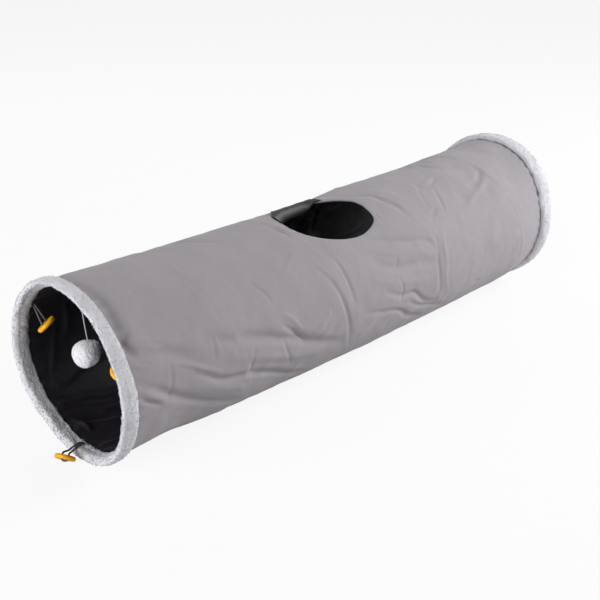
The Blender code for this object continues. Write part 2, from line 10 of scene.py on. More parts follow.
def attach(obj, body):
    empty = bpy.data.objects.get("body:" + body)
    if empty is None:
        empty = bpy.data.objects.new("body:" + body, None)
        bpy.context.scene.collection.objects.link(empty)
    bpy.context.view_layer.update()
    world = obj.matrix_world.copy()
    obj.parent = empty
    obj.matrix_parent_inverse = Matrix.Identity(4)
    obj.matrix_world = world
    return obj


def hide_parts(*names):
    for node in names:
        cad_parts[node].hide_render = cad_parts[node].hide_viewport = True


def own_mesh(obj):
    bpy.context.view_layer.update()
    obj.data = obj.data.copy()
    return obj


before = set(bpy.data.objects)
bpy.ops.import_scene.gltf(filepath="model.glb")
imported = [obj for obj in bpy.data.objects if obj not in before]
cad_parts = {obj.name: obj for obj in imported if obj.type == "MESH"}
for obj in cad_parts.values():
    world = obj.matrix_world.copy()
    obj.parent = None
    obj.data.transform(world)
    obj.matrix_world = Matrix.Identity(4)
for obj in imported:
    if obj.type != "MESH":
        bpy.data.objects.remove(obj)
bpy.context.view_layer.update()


# The view. A camera a little above the tunnel looks down at its near mouth and along its front side.
EYE = Vector((-1.0799, -1.0500, 0.7766))
AIM = Vector((-0.0282, 0.0061, 0.0899))
LENS = 65.28

lens = bpy.data.cameras.new("camera")
lens.lens = LENS
lens.sensor_width = 36
camera = bpy.data.objects.new("camera", lens)
camera.location = EYE
camera.rotation_euler = (AIM - EYE).to_track_quat("-Z", "Y").to_euler()
bpy.context.scene.collection.objects.link(camera)
bpy.context.scene.camera = camera
bpy.context.scene.view_settings.view_transform = "Standard"


# Outer cover. One piece of grey suedette, a thin napped cloth, rolled to a tube and drawn over the spring
# wire. It dips between the wire's turns, puckers where the bands are sewn on, and has the folds of a packed
# tunnel. The hoops and the cloth have settled a little out of round.
TUNNEL_LENGTH = 0.900
RIM_RADIUS = 0.125
RIM_AXIS_HEIGHT = 0.1238
COVER_RADIUS = 0.119
COVER_SPAN = 0.850
MIDDLE_SAG = 0.0060
TOP_DIP = 0.0028
SIDE_DIP = 0.0008
DIP_FADE = 0.060
OUTER_FLAP = 0.025
HOOP_INSET = 0.0066
HOOP_STEP = 0.0032
LEAD_TURNS = 0.5
COIL_PITCH = 0.20678
WIRE_START_ANGLE = math.radians(35)
RIM_FADE = 0.090
TOP_DEGREES = -26
TOP_SPREAD = 42
LOW_DEGREES = 142
LOW_SPREAD = 40
# How far the cloth stands out from the round, in millimetres, at millimetres from mid-length: on its top
# line behind, and on its lowest line in front
TOP_LINE = ((-425, 2), (-375, 4), (-305, 1), (-240, 3), (-180, 1.5), (-120, -1), (-30, 0), (60, -1),
            (90, -1), (145, 1.5), (210, 0), (280, -1.5), (345, 0), (425, 1))
LOW_LINE = ((-425, 0), (-390, -1), (-340, -4), (-295, 1), (-220, 0), (-150, 1.5), (-60, 2), (60, 3),
            (180, 2), (240, 3), (310, 3.5), (365, 2.5), (390, 1), (425, -4))
# How far each rim stands out from the round, in millimetres, at degrees from the top towards the front
NEAR_RIM_LINE = ((-180, -1.5), (-155, -6.5), (-140, -6.5), (-120, -4), (-105, -2.5), (-85, -5), (-65, -5),
                 (-45, -5), (-25, -2), (0, 0), (15, 1.5), (30, 3), (48, 3), (62, 1.5), (80, 0.5),
                 (110, 0.5), (135, -1), (155, -3), (168, -4), (180, -1.5))
FAR_RIM_LINE = ((-180, 0), (-60, -1), (-30, 1), (0, 2.5), (35, 5.5), (50, 2), (65, -4), (90, -4.5),
                (110, -2.5), (130, 0), (160, 0.5), (180, 0))
# How far, in millimetres, the near rim leans in along the tunnel, and the seam behind its band lies along it
NEAR_LEAN_LINE = ((-180, 8), (-150, 6), (-120, 1.5), (-90, 0.5), (-60, 0), (120, 0), (150, 3), (180, 8))
NEAR_SEAM_LINE = ((-180, 0), (-60, 0), (-20, -4), (10, -5), (50, -5), (85, -1), (110, 0), (180, 0))
SEAM_REACH = 0.016
# The cloth round the peephole is drawn towards the near mouth: how far, and over what part of the wall
HOLE_DRAW = -0.0075
HOLE_DRAW_REACH = 0.085
HOLE_DRAW_FADE = 0.120
HOLE_DRAW_DEGREES = 12
HOLE_DRAW_SPREAD = 80
# The peephole's corners that are pulled along the tunnel: where along it, degrees from the top, how far
HOLE_CORNERS = ((0.061, 32, 0.0055), (-0.064, -6, -0.0045))
CORNER_REACH = 0.016
CORNER_SPREAD = 9
# Its back edge, pulled down: where along the tunnel, degrees from the top, and by how many degrees
HOLE_BACK = (0.002, -12, -4.0)
BACK_REACH = 0.042
BACK_SPREAD = 13
COVER_CELLS = (328, 288)
CLOTH_TURN_IN = 0.006
SEAM_SINK = 0.0004
HOLE_LENGTH = 0.150
HOLE_WIDTH = 0.104
HOLE_OFFSET = -0.004
HOLE_ANGLE = math.radians(14)
HOLE_TURN = math.radians(15.5)
HOLE_POWER = 2 / 0.85
SHOULDER = 0.003
SHOULDER_DROP = 0.0014
# Each fold: depth and half width in millimetres, a ridge where the depth is negative, and its line as
# millimetres from mid-length and degrees from the top towards the front
FRONT_FOLDS = (
    (4.6, 10, (-318, 66), (-280, 73), (-248, 77), (-215, 82), (-183, 87), (-152, 93), (-136, 97),
     (-95, 104), (-50, 113)),
    (-2.2, 9, (-285, 84), (-226, 94), (-150, 106), (-96, 114)),
    (2.6, 4, (-180, 77), (-166, 83), (-152, 90), (-137, 97)),
    (-1.8, 4, (-176, 71), (-160, 78), (-146, 87)),
    (-1.5, 3.5, (-134, 96), (-115, 92), (-97, 87), (-89, 81)),
    (1.2, 3.5, (-123, 100), (-105, 96), (-90, 90)),
    (3.6, 12, (-424, 57), (-395, 64), (-371, 68), (-347, 73), (-318, 78)),
    (-2.2, 3.5, (-374, 73), (-340, 79), (-319, 85), (-292, 93)),
    (4.0, 6, (-340, 84), (-316, 91), (-298, 97), (-274, 101), (-242, 103), (-212, 108), (-155, 122),
     (-101, 135)),
    (-1.6, 8, (-344, 93), (-311, 101), (-271, 109), (-227, 116)),
    (4.4, 8, (-420, 80), (-393, 87), (-372, 95), (-346, 103), (-306, 113), (-261, 123), (-236, 127)),
    (2.8, 4, (-421, 89), (-408, 93), (-387, 98)),
    (-1.5, 4, (-416, 86), (-397, 91), (-384, 94)),
    (3.2, 6, (-423, 50), (-418, 58), (-407, 62)),
    (1.2, 3, (-406, 46), (-415, 52), (-424, 56)),
    (1.8, 3, (-388, 57), (-377, 60), (-364, 62)),
    (1.4, 3, (-413, 65), (-404, 68), (-393, 71)),
    (2.6, 9, (-420, 5), (-417, 25), (-418, 45), (-420, 62)),
    (1.2, 2.5, (-301, 69), (-300, 75), (-300, 83)),
    (-0.9, 2.5, (-295, 67), (-293, 74), (-290, 82)),
    (1.3, 2.5, (-178, 86), (-174, 96), (-164, 112)),
    (1.5, 3, (-232, 85), (-241, 96), (-241, 109)),
    (1.4, 3, (-370, 73), (-372, 83), (-374, 90), (-380, 99)),
    (1.8, 4, (-95, 49), (-74, 62), (-64, 73), (-56, 87), (-48, 102), (-41, 119)),
    (1.8, 3.5, (-54, 46), (-46, 60), (-40, 73), (-37, 85)),
    (1.7, 3, (-206, 43), (-204, 49), (-198, 53), (-190, 62)),
    (-1.3, 4, (-101, 33), (-127, 41), (-148, 48)),
    (3.0, 6, (20, 43), (47, 49), (69, 52), (93, 57), (124, 60), (141, 66), (150, 73)),
    (-1.5, 7, (4, 50), (57, 60), (107, 67), (134, 73)),
    (2.8, 9, (12, 61), (41, 69), (70, 73), (110, 76), (153, 82)),
    (-1.5, 9, (4, 74), (61, 84), (129, 91)),
    (2.8, 5, (22, 85), (65, 94), (96, 98), (129, 109), (164, 117)),
    (2.6, 4.5, (80, 103), (134, 115), (187, 127)),
    (2.8, 5, (-17, 98), (22, 101), (53, 105), (101, 119), (144, 131)),
    (3.0, 6, (62, 1), (84, 6), (99, 12), (108, 22), (118, 31), (123, 40)),
    (-1.6, 6, (80, -5), (105, 4), (123, 15), (135, 28)),
    (2.0, 4, (182, 13), (190, 21), (207, 23), (229, 18), (246, 18)),
    (-1.6, 5, (198, 14), (216, 17), (234, 12)),
    (1.4, 3, (182, 21), (172, 31), (168, 40)),
    (1.7, 3.5, (213, 25), (203, 36), (194, 48)),
    (1.4, 4, (183, 42), (157, 50)),
    (-2.2, 6, (324, 35), (289, 42), (253, 50)),
    (2.4, 6, (318, 19), (323, 28), (297, 35), (275, 36)),
    (-1.4, 4.5, (168, 59), (165, 74), (168, 94), (179, 116)),
    (2.0, 4, (152, 61), (151, 72), (152, 88), (160, 107)),
    (1.4, 3, (66, 64), (58, 72)),
    (1.5, 2.5, (57, 78), (66, 90), (63, 101)),
    (1.4, 3, (69, 29), (69, 38)),
    (1.8, 9, (300, -12), (345, -12), (375, -9), (400, -5)),
    (1.4, 4, (250, 116), (272, 118)),
    (2.2, 4, (-106, 6), (-98, 14), (-94, 24)),
    (-1.6, 4, (-101, -2), (-93, 8), (-91, 20)),
)
FOLD_WANDER = 0.0025
WANDER_CELLS = (30, 26)
# The folds that no hand has placed: how many on the back, and their ranges in millimetres and radians
BACK_FOLDS = 44
FOLD_DEPTH_RANGE = (1.1, 3.2)
FOLD_WIDTH_RANGE = (4, 8)
FOLD_STEP_RANGE = (14, 38)
FOLD_HEADINGS = (0.0, 0.5, -0.4, 1.4)
FOLDS_REACH = 400
MILLIMETRES_PER_DEGREE = 2.08
# The sewn channel's two rows of stitches, and the cloth's small unevenness as height, cells and seed
CHANNEL_SLACK = 0.012
STITCH_ROW = 0.0075
STITCH_WIDTH = 0.0022
STITCH_DEPTH = 0.00035
CRUMPLES = ((0.0006, (18, 14), 11), (0.00035, (44, 34), 12), (0.00018, (110, 80), 13))
CREASE_DEPTH = 0.0005
PUCKER_HEIGHT = 0.0008
PUCKERS = 46
PUCKER_REACH = 0.02


def eased(value):
    """Eases from 0 to 1 as value goes from 0 to 1."""
    value = np.clip(value, 0, 1)
    return value * value * (3 - 2 * value)


def from_nearest_end(x):
    """Distance along the tunnel from the nearer mouth."""
    return TUNNEL_LENGTH / 2 - np.abs(x)


def axis_height(x):
    """Height of the tunnel's centre line, which hangs between the rims until the cover meets the floor."""
    return RIM_AXIS_HEIGHT - MIDDLE_SAG * np.maximum(1 - (2 * x / COVER_SPAN) ** 2, 0)


def turns_passed(x, angle):
    """Turns of the coil passed at this place of the wall: a whole number on the wire itself."""
    first_top_turn = 1 + LEAD_TURNS / 2
    turn = (x + TUNNEL_LENGTH / 2 - HOOP_INSET + (COIL_PITCH - HOOP_STEP) * first_top_turn) / COIL_PITCH
    return turn - (angle - WIRE_START_ANGLE) / math.tau


def drawn_line(places, where, soften, lap=None):
    """Height of a line drawn through its given places, with its corners rounded off."""
    across, heights = np.array(places, float).T
    shifts = np.linspace(-soften, soften, 7)
    return sum(np.interp(where + shift, across, heights, period=lap) for shift in shifts) / len(shifts)


def close_to(angle, degrees, half_width):
    """1 at some degrees round the tunnel, fading off to either side."""
    off = (np.degrees(angle) - degrees + 180) % 360 - 180
    return np.exp(-(off / half_width) ** 2)


def out_of_round(x, angle):
    """How far the settled hoops and cloth stand out from the round."""
    degrees = np.degrees(angle)
    near = 1 - eased((x + TUNNEL_LENGTH / 2) / RIM_FADE)
    far = 1 - eased((TUNNEL_LENGTH / 2 - x) / RIM_FADE)
    line = (drawn_line(NEAR_RIM_LINE, degrees, soften=12, lap=360) * near
            + drawn_line(FAR_RIM_LINE, degrees, soften=12, lap=360) * far
            + drawn_line(TOP_LINE, x * 1000, soften=15) * close_to(angle, TOP_DEGREES, TOP_SPREAD)
            + drawn_line(LOW_LINE, x * 1000, soften=15) * close_to(angle, LOW_DEGREES, LOW_SPREAD))
    return line / 1000


def drawn_along(x, angle):
    """How far the cloth lies along the tunnel from its even place."""
    degrees = np.degrees(angle)
    lean = (drawn_line(NEAR_LEAN_LINE, degrees, soften=15, lap=360)
            * (1 - eased((x + TUNNEL_LENGTH / 2) / RIM_FADE)))
    seam = (drawn_line(NEAR_SEAM_LINE, degrees, soften=10, lap=360)
            * np.exp(-((x + COVER_SPAN / 2) / SEAM_REACH) ** 2))
    corner = sum(pull * np.exp(-((x - corner_x) / CORNER_REACH) ** 2)
                 * close_to(angle, corner_degrees, CORNER_SPREAD)
                 for corner_x, corner_degrees, pull in HOLE_CORNERS)
    to_hole = (np.abs(x - HOLE_OFFSET) - HOLE_DRAW_REACH) / HOLE_DRAW_FADE
    return ((lean + seam) / 1000 + corner
            + HOLE_DRAW * (1 - eased(to_hole)) * close_to(angle, HOLE_DRAW_DEGREES, HOLE_DRAW_SPREAD))


def drawn_round(x, angle):
    """How far the cloth lies round the tunnel from its even place, at the peephole's back edge."""
    back_x, back_degrees, pull = HOLE_BACK
    return (math.radians(pull) * np.exp(-((x - back_x) / BACK_REACH) ** 2)
            * close_to(angle, back_degrees, BACK_SPREAD))


def taut_radius(x, angle):
    """Outside of the cover without its folds: it rides over the wire and dips between the turns."""
    between = turns_passed(x, angle) % 1
    hang = 4 * between * (1 - between)
    dip = SIDE_DIP + (TOP_DIP - SIDE_DIP) * (1 + np.cos(angle)) / 2
    return COVER_RADIUS - dip * hang * eased((from_nearest_end(x) - OUTER_FLAP) / DIP_FADE)


def wall_points(x, angle, depth, proud=0):
    """Points of the wall, so far under the cover's outside. Angles run from the top towards -Y."""
    outside = taut_radius(x, angle) + out_of_round(x, angle) + proud
    radius = outside - depth
    height = axis_height(x)
    lift = np.maximum(-outside * np.cos(angle) - height, 0)
    along = x + drawn_along(x, angle)
    angle = angle + drawn_round(x, angle)
    return np.stack([along, -radius * np.sin(angle), height + radius * np.cos(angle) + lift], axis=-1)


def waves(x, angle, cells, seed):
    """Smooth random waves from -1 to 1 over the wall, with so many cells along it and round it."""
    lattice = np.random.default_rng(seed).uniform(-1, 1, (cells[0] + 2, cells[1]))
    along = (x / TUNNEL_LENGTH + 0.5) * cells[0]
    around = angle / math.tau % 1 * cells[1]
    row = np.clip(np.floor(along).astype(int), 0, cells[0])
    column = np.floor(around).astype(int) % cells[1]
    u = eased(along - row)
    v = eased(around - np.floor(around))
    after = (column + 1) % cells[1]
    near = lattice[row, column] * (1 - v) + lattice[row, after] * v
    far = lattice[row + 1, column] * (1 - v) + lattice[row + 1, after] * v
    return near * (1 - u) + far * u


def curve_through(places, parts):
    """Points on a smooth curve through places, so many to each stretch."""
    knots = [2 * places[0] - places[1], *places, 2 * places[-1] - places[-2]]
    line = []
    for before, first, second, after in zip(knots, knots[1:], knots[2:], knots[3:]):
        for t in np.arange(0, 1, 1 / parts):
            line.append(0.5 * (2 * first + (second - before) * t
                               + (2 * before - 5 * first + 4 * second - after) * t ** 2
                               + (3 * first - before - 3 * second + after) * t ** 3))
    return np.array([*line, places[-1]])


def fold_relief(x, angle, folds):
    """How far the folds lift the cloth at places of the wall, fading towards the ends of each fold."""
    relief = np.zeros(x.shape)
    arc = (angle + math.pi) % math.tau - math.pi
    arc = arc * COVER_RADIUS + FOLD_WANDER * waves(x, angle, WANDER_CELLS, 41)
    x = x + FOLD_WANDER * waves(x, angle, WANDER_CELLS, 42)
    for depth, half_width, *places in folds:
        line = curve_through(np.array([(along / 1000, math.radians(degrees) * COVER_RADIUS)
                                       for along, degrees in places]), 4)
        width = half_width / 1000
        low = line.min(0) - 3 * width
        high = line.max(0) + 3 * width
        for lap in (-math.tau, 0, math.tau):
            shifted = arc + lap * COVER_RADIUS
            near = (x > low[0]) & (x < high[0]) & (shifted > low[1]) & (shifted < high[1])
            if not near.any():
                continue
            here = np.stack([x[near], shifted[near]], axis=-1)
            lengths = np.linalg.norm(np.diff(line, axis=0), axis=1)
            nearest = np.full(len(here), np.inf)
            reached = np.zeros(len(here))
            for start, stop, length, done in zip(line, line[1:], lengths, np.cumsum(lengths) - lengths):
                share = np.clip(((here - start) @ (stop - start)) / length ** 2, 0, 1)
                distance = np.linalg.norm(here - start - share[:, None] * (stop - start), axis=1)
                closer = distance < nearest
                nearest = np.where(closer, distance, nearest)
                reached = np.where(closer, (done + share * length) / lengths.sum(), reached)
            off = (nearest / width) ** 2
            fading = np.maximum(np.sin(math.pi * reached), 0) ** 0.6
            relief[near] -= depth / 1000 * fading * (1 - 0.6 * off) * np.exp(-off)
    return relief


def scattered_folds(count, degrees, seed):
    """Folds like the front's at random places of another part of the wall."""
    rng = np.random.default_rng(seed)
    folds = []
    for _ in range(count):
        x = rng.uniform(-FOLDS_REACH, FOLDS_REACH)
        turn = rng.uniform(*degrees)
        heading = rng.choice(FOLD_HEADINGS) + rng.normal(0, 0.3)
        step = rng.uniform(*FOLD_STEP_RANGE)
        places = []
        for _ in range(rng.integers(3, 5)):
            places.append((float(np.clip(x, -FOLDS_REACH - 15, FOLDS_REACH + 15)), turn))
            x += step * math.cos(heading)
            turn += step * math.sin(heading) / MILLIMETRES_PER_DEGREE
            heading += rng.normal(0, 0.35)
        depth = rng.uniform(*FOLD_DEPTH_RANGE) * rng.choice((1, 1, -0.7))
        folds.append((depth, rng.uniform(*FOLD_WIDTH_RANGE), *places))
    return folds


def cover_relief(x, angle):
    """The cover's folds, its sewn channel and its small unevenness, away from the taut shape."""
    to_wire = np.abs((turns_passed(x, angle) + 0.5) % 1 - 0.5) * COIL_PITCH
    slack = eased(to_wire / CHANNEL_SLACK)
    folds = (fold_relief(x, angle, FRONT_FOLDS)
             + fold_relief(x, angle, scattered_folds(BACK_FOLDS, (-165, -12), 7)))
    stitched = (np.exp(-((to_wire - STITCH_ROW) / STITCH_WIDTH) ** 2)
                * (0.6 + 0.4 * waves(x, angle, (60, 50), 3)))
    crumple = sum(height * waves(x, angle, cells, seed) for height, cells, seed in CRUMPLES)
    creases = CREASE_DEPTH * (1 - 2 * np.abs(waves(x + 0.2 * angle * COVER_RADIUS, angle, (26, 18), 14)))
    quiet = eased((from_nearest_end(x) - OUTER_FLAP) / PUCKER_REACH)
    pucker = PUCKER_HEIGHT * np.sin(angle * PUCKERS + 3 * waves(x, angle, (4, 9), 15)) * (1 - quiet) ** 2
    return (folds * (0.6 + 0.4 * slack) - STITCH_DEPTH * stitched
            + (crumple + creases * slack) * (0.3 + 0.7 * quiet) + pucker)


def hole_share(x, angle):
    """Distance from the peephole's middle, as a share of that to its edge the same way, and in metres."""
    arc = ((angle - HOLE_ANGLE + math.pi) % math.tau - math.pi) * COVER_RADIUS
    x = x - HOLE_OFFSET
    along = x * math.cos(HOLE_TURN) + arc * math.sin(HOLE_TURN)
    across = arc * math.cos(HOLE_TURN) - x * math.sin(HOLE_TURN)
    share = (np.abs(along / (HOLE_LENGTH / 2)) ** HOLE_POWER
             + np.abs(across / (HOLE_WIDTH / 2)) ** HOLE_POWER) ** (1 / HOLE_POWER)
    return share, np.hypot(x, arc)


def new_mesh(name, points, faces):
    """A smooth-shaded mesh object from its points and faces."""
    mesh = bpy.data.meshes.new(name)
    mesh.from_pydata([tuple(point) for point in points], [], faces)
    mesh.shade_smooth()
    made = bpy.data.objects.new(name, mesh)
    bpy.context.scene.collection.objects.link(made)
    return made


def keep_values(thing, name, values):
    """Keeps one number for each point of a mesh, which its material reads by name."""
    attribute = thing.data.attributes.new(name, "FLOAT", "POINT")
    attribute.data.foreach_set("value", np.asarray(values, np.float32).ravel())


def rolled_cloth(name, start, end, cells, place):
    """A cloth rolled to a tube, with the peephole cut out of its grid and the cut's edge made even."""
    rows = np.linspace(start, end, cells[0] + 1)
    columns = math.pi + np.arange(cells[1]) / cells[1] * math.tau
    x, angle = [grid.copy() for grid in np.meshgrid(rows, columns, indexing="ij")]
    quads = np.arange(x.size).reshape(x.shape)
    after = np.roll(quads, -1, 1)
    corners = np.stack([quads[:-1], quads[1:], after[1:], after[:-1]], axis=-1).reshape(-1, 4)
    middle_x = (x[:-1] + x[1:]) / 2
    middle_angle = (angle + math.pi / cells[1])[:-1]
    kept = hole_share(middle_x, middle_angle)[0].ravel() > 1
    touches = np.zeros(x.size, bool)
    touches[corners[kept].ravel()] = True
    cut_away = np.zeros(x.size, bool)
    cut_away[corners[~kept].ravel()] = True
    edge = (touches & cut_away).reshape(x.shape)
    share = hole_share(x[edge], angle[edge])[0]
    x[edge] = HOLE_OFFSET + (x[edge] - HOLE_OFFSET) / share
    turned = (angle[edge] - HOLE_ANGLE + math.pi) % math.tau - math.pi
    angle[edge] = HOLE_ANGLE + turned / share
    points = place(x, angle).reshape(-1, 3)
    renumbered = np.cumsum(touches) - 1
    made = new_mesh(name, points[touches], renumbered[corners[kept]].tolist())
    around = np.arange(cells[1]) / cells[1] * math.tau * COVER_RADIUS
    flat = np.stack([rows[:, None] + 0 * x, around[None, :] + 0 * x, 0 * x], axis=-1).reshape(-1, 3)
    on_corners = flat[corners]
    seam = np.repeat((np.arange(cells[1]) == cells[1] - 1)[None, :], cells[0], 0).ravel()
    on_corners[seam, 2:, 1] += math.tau * COVER_RADIUS
    attribute = made.data.attributes.new("cloth", "FLOAT_VECTOR", "CORNER")
    attribute.data.foreach_set("vector", on_corners[kept].astype(np.float32).ravel())
    return made


def beside_hole(x, angle):
    """Distance from the peephole's edge, and how far the cloth drops there as it turns into the hem."""
    share, reach = hole_share(x, angle)
    to_hole = np.maximum(reach * (1 - 1 / np.maximum(share, 1)), 0)
    return to_hole, SHOULDER_DROP * (1 - np.sqrt(1 - np.clip(1 - to_hole / SHOULDER, 0, 1) ** 2))


def cover_place(x, angle):
    """Points of the cover, turned down beside the peephole and tucked in at its ends."""
    shoulder = beside_hole(x, angle)[1]
    to_seam = COVER_SPAN / 2 - np.abs(x)
    sink = SEAM_SINK * np.clip(1 - to_seam / CLOTH_TURN_IN, 0, 1) ** 2
    return wall_points(x, angle, 0, cover_relief(x, angle) - shoulder - sink)


class Thread:
    """One socket of a material. Sums on threads add Math nodes, and spin adds any other node."""

    def __init__(self, tree, socket=None):
        self.tree = tree
        self.socket = socket

    def spin(self, kind, settings=(), sockets=(), output=0):
        node = self.tree.nodes.new("ShaderNode" + kind)
        for name, value in dict(settings).items():
            if name == "stops":
                ramp = node.color_ramp.elements
                while len(ramp) < len(value):
                    ramp.new(0.5)
                for stop, (place, colour) in zip(ramp, value):
                    stop.position = place
                    stop.color = (*colour, 1)
            else:
                setattr(node, name, value)
        for name, value in dict(sockets).items():
            if isinstance(value, Thread):
                self.tree.links.new(value.socket, node.inputs[name])
            else:
                node.inputs[name].default_value = value
        return Thread(self.tree, node.outputs[output] if node.outputs else None)

    def sum(self, operation, first, second):
        return self.spin("Math", {"operation": operation}, {0: first, 1: second})

    def __add__(self, other):
        return self.sum("ADD", self, other)

    def __radd__(self, other):
        return self.sum("ADD", other, self)

    def __sub__(self, other):
        return self.sum("SUBTRACT", self, other)

    def __rsub__(self, other):
        return self.sum("SUBTRACT", other, self)

    def __mul__(self, other):
        return self.sum("MULTIPLY", self, other)

    def __rmul__(self, other):
        return self.sum("MULTIPLY", other, self)


def new_finish(name, constants):
    """A material with its shader's constants set. Returns it, its shader's inputs and a loose thread."""
    finish = bpy.data.materials.new(name)
    finish.use_nodes = True
    shader = finish.node_tree.nodes["Principled BSDF"]
    for socket, value in constants.items():
        shader.inputs[socket].default_value = value
    return finish, shader.inputs, Thread(finish.node_tree)


def grain(thread, place, scale, detail=3.0, roughness=0.6):
    """Fine random grain from 0 to 1, so many grains to a metre."""
    return thread.spin("TexNoise", {}, {"Vector": place, "Scale": scale, "Detail": detail,
                                        "Roughness": roughness})


def dyed(thread, share, first, second):
    """A colour between two others, by a share from 0 to 1. The first may be a thread itself."""
    first = first if isinstance(first, Thread) else (*first, 1)
    return thread.spin("Mix", {"data_type": "RGBA"}, {"Factor": share, "A": first, "B": (*second, 1)}, 2)


def raised(thread, height, distance, strength=1.0):
    """A normal that shows a height map, whose full range is distance deep."""
    return thread.spin("Bump", {}, {"Height": height, "Distance": distance, "Strength": strength})


def feed(inputs, **threads):
    """Links threads to a shader's inputs, with underscores for the blanks in their names."""
    for name, thread in threads.items():
        thread.tree.links.new(thread.socket, inputs[name.replace("_", " ")])


def place_on(thread):
    """The place on the piece itself, which moves with it."""
    return thread.spin("TexCoord", {}, {}, 3)


def kept_value(thread, name):
    """The number that the mesh keeps under a name for each point."""
    return thread.spin("Attribute", {"attribute_name": name}, {}, 2)


def cloth_place(thread):
    """The place on the cloth as it lay flat before it was sewn."""
    return thread.spin("Attribute", {"attribute_name": "cloth"}, {}, 1)


def drawn_out(place, stretch):
    """A place whose grain is drawn out round the tunnel."""
    return place.spin("VectorMath", {"operation": "MULTIPLY"}, {0: place, 1: (1, stretch, 1)})


suedette, inputs, thread = new_finish("suedette", {"Sheen Weight": 0.12, "Sheen Roughness": 0.45,
                                                   "Sheen Tint": (0.9, 0.88, 0.92, 1),
                                                   "Specular IOR Level": 0.15})
cloth = cloth_place(thread)
brushed = grain(thread, drawn_out(cloth, 0.6), 26, 4.0)
nap = grain(thread, cloth, 420, 4.0, 0.7)
fibres = grain(thread, drawn_out(cloth, 0.35), 1500, 2.0)
mottled = brushed * 0.35 + nap * 0.35 + fibres * 0.3
feed(inputs, Base_Color=dyed(thread, mottled, (0.265, 0.247, 0.266), (0.455, 0.427, 0.452)),
     Roughness=0.82 + nap * 0.16, Normal=raised(thread, nap * 0.55 + fibres * 0.45, 0.0005, 0.55))

outer_cover = rolled_cloth("outer_cover_sewn", -COVER_SPAN / 2, COVER_SPAN / 2, COVER_CELLS, cover_place)
outer_cover.data.materials.append(suedette)
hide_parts("outer_cover")
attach(outer_cover, "near_end")
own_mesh(outer_cover)


# Channel tape. A flat woven tape, 12 mm wide, wound along the coil between the wire and the cover and
# sewn down along both edges, so that the wire stays in its channel.
TAPE_WIDTH = 0.012
TAPE_THICKNESS = 0.0004
TAPE_DEPTH = 0.0013
TAPE_MARGIN = 0.014
WIRE_STEPS_PER_TURN = 96
HOOP_TAIL_TURNS = 2 / 36
COIL_TURNS = 4.75
TAPE_OUTLINE = ((-1, 0), (-0.5, 0), (0, 0), (0.5, 0), (1, 0), (1, 1), (0.5, 1), (0, 1), (-0.5, 1), (-1, 1))


def coil_x(turn):
    """Where along the tunnel the wire is after so many turns, easing out of and into the end hoops."""
    done = np.clip(turn - 1, 0, COIL_TURNS)
    lead = np.minimum(done, LEAD_TURNS)
    tail = np.maximum(done - (COIL_TURNS - LEAD_TURNS), 0)
    advance = lead ** 2 / (2 * LEAD_TURNS) + done - lead - tail ** 2 / (2 * LEAD_TURNS)
    return HOOP_INSET - TUNNEL_LENGTH / 2 + HOOP_STEP * turn + (COIL_PITCH - HOOP_STEP) * advance


def skinned(name, rings, cyclic=False):
    """A mesh over rings of points, with its two ends closed where the rings don't come round again."""
    sides = rings.shape[1]
    faces = []
    for first in range(len(rings) if cyclic else len(rings) - 1):
        second = (first + 1) % len(rings)
        for index in range(sides):
            after = (index + 1) % sides
            faces.append((first * sides + index, first * sides + after,
                          second * sides + after, second * sides + index))
    if not cyclic:
        faces.append(tuple(reversed(range(sides))))
        faces.append(tuple((len(rings) - 1) * sides + index for index in range(sides)))
    return new_mesh(name, rings.reshape(-1, 3), faces)


tape_finish, inputs, thread = new_finish("black_tape", {"Roughness": 0.8, "Specular IOR Level": 0.3})
ribs = thread.spin("TexWave", {"wave_type": "BANDS", "bands_direction": "DIAGONAL"},
                   {"Vector": place_on(thread), "Scale": 160.0, "Distortion": 0.6})
lint = grain(thread, place_on(thread), 1200)
feed(inputs, Base_Color=dyed(thread, ribs * 0.7 + lint * 0.3, (0.012, 0.012, 0.013), (0.034, 0.034, 0.036)),
     Normal=raised(thread, ribs * 0.8 + lint * 0.2, 0.0003))

turns = np.arange(-HOOP_TAIL_TURNS, COIL_TURNS + 2 + HOOP_TAIL_TURNS + 1e-6, 1 / WIRE_STEPS_PER_TURN)
wire_x = coil_x(turns)
wire_angle = WIRE_START_ANGLE + math.tau * turns
covered = from_nearest_end(wire_x) > OUTER_FLAP + TAPE_MARGIN
tape_x = wire_x[covered]
tape_angle = wire_angle[covered]
rows = []
for across, under in TAPE_OUTLINE:
    row_x = tape_x + across * TAPE_WIDTH / 2
    rows.append(wall_points(row_x, tape_angle, TAPE_DEPTH + under * TAPE_THICKNESS,
                            cover_relief(row_x, tape_angle)))
channel_tape = skinned("wire_channel_tape_woven", np.stack(rows, axis=1))
channel_tape.data.materials.append(tape_finish)
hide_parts("wire_channel_tape")
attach(channel_tape, "near_end")
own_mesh(channel_tape)


# Spring wire. One round steel wire, 2 mm thick: a closed hoop in each plush band, and an open coil of about
# five turns between them, pushed through the tape's channel. It holds the cloth out.
WIRE_DIAMETER = 0.0020
WIRE_DEPTH = 0.0030
HOOP_RADIUS = 0.1195


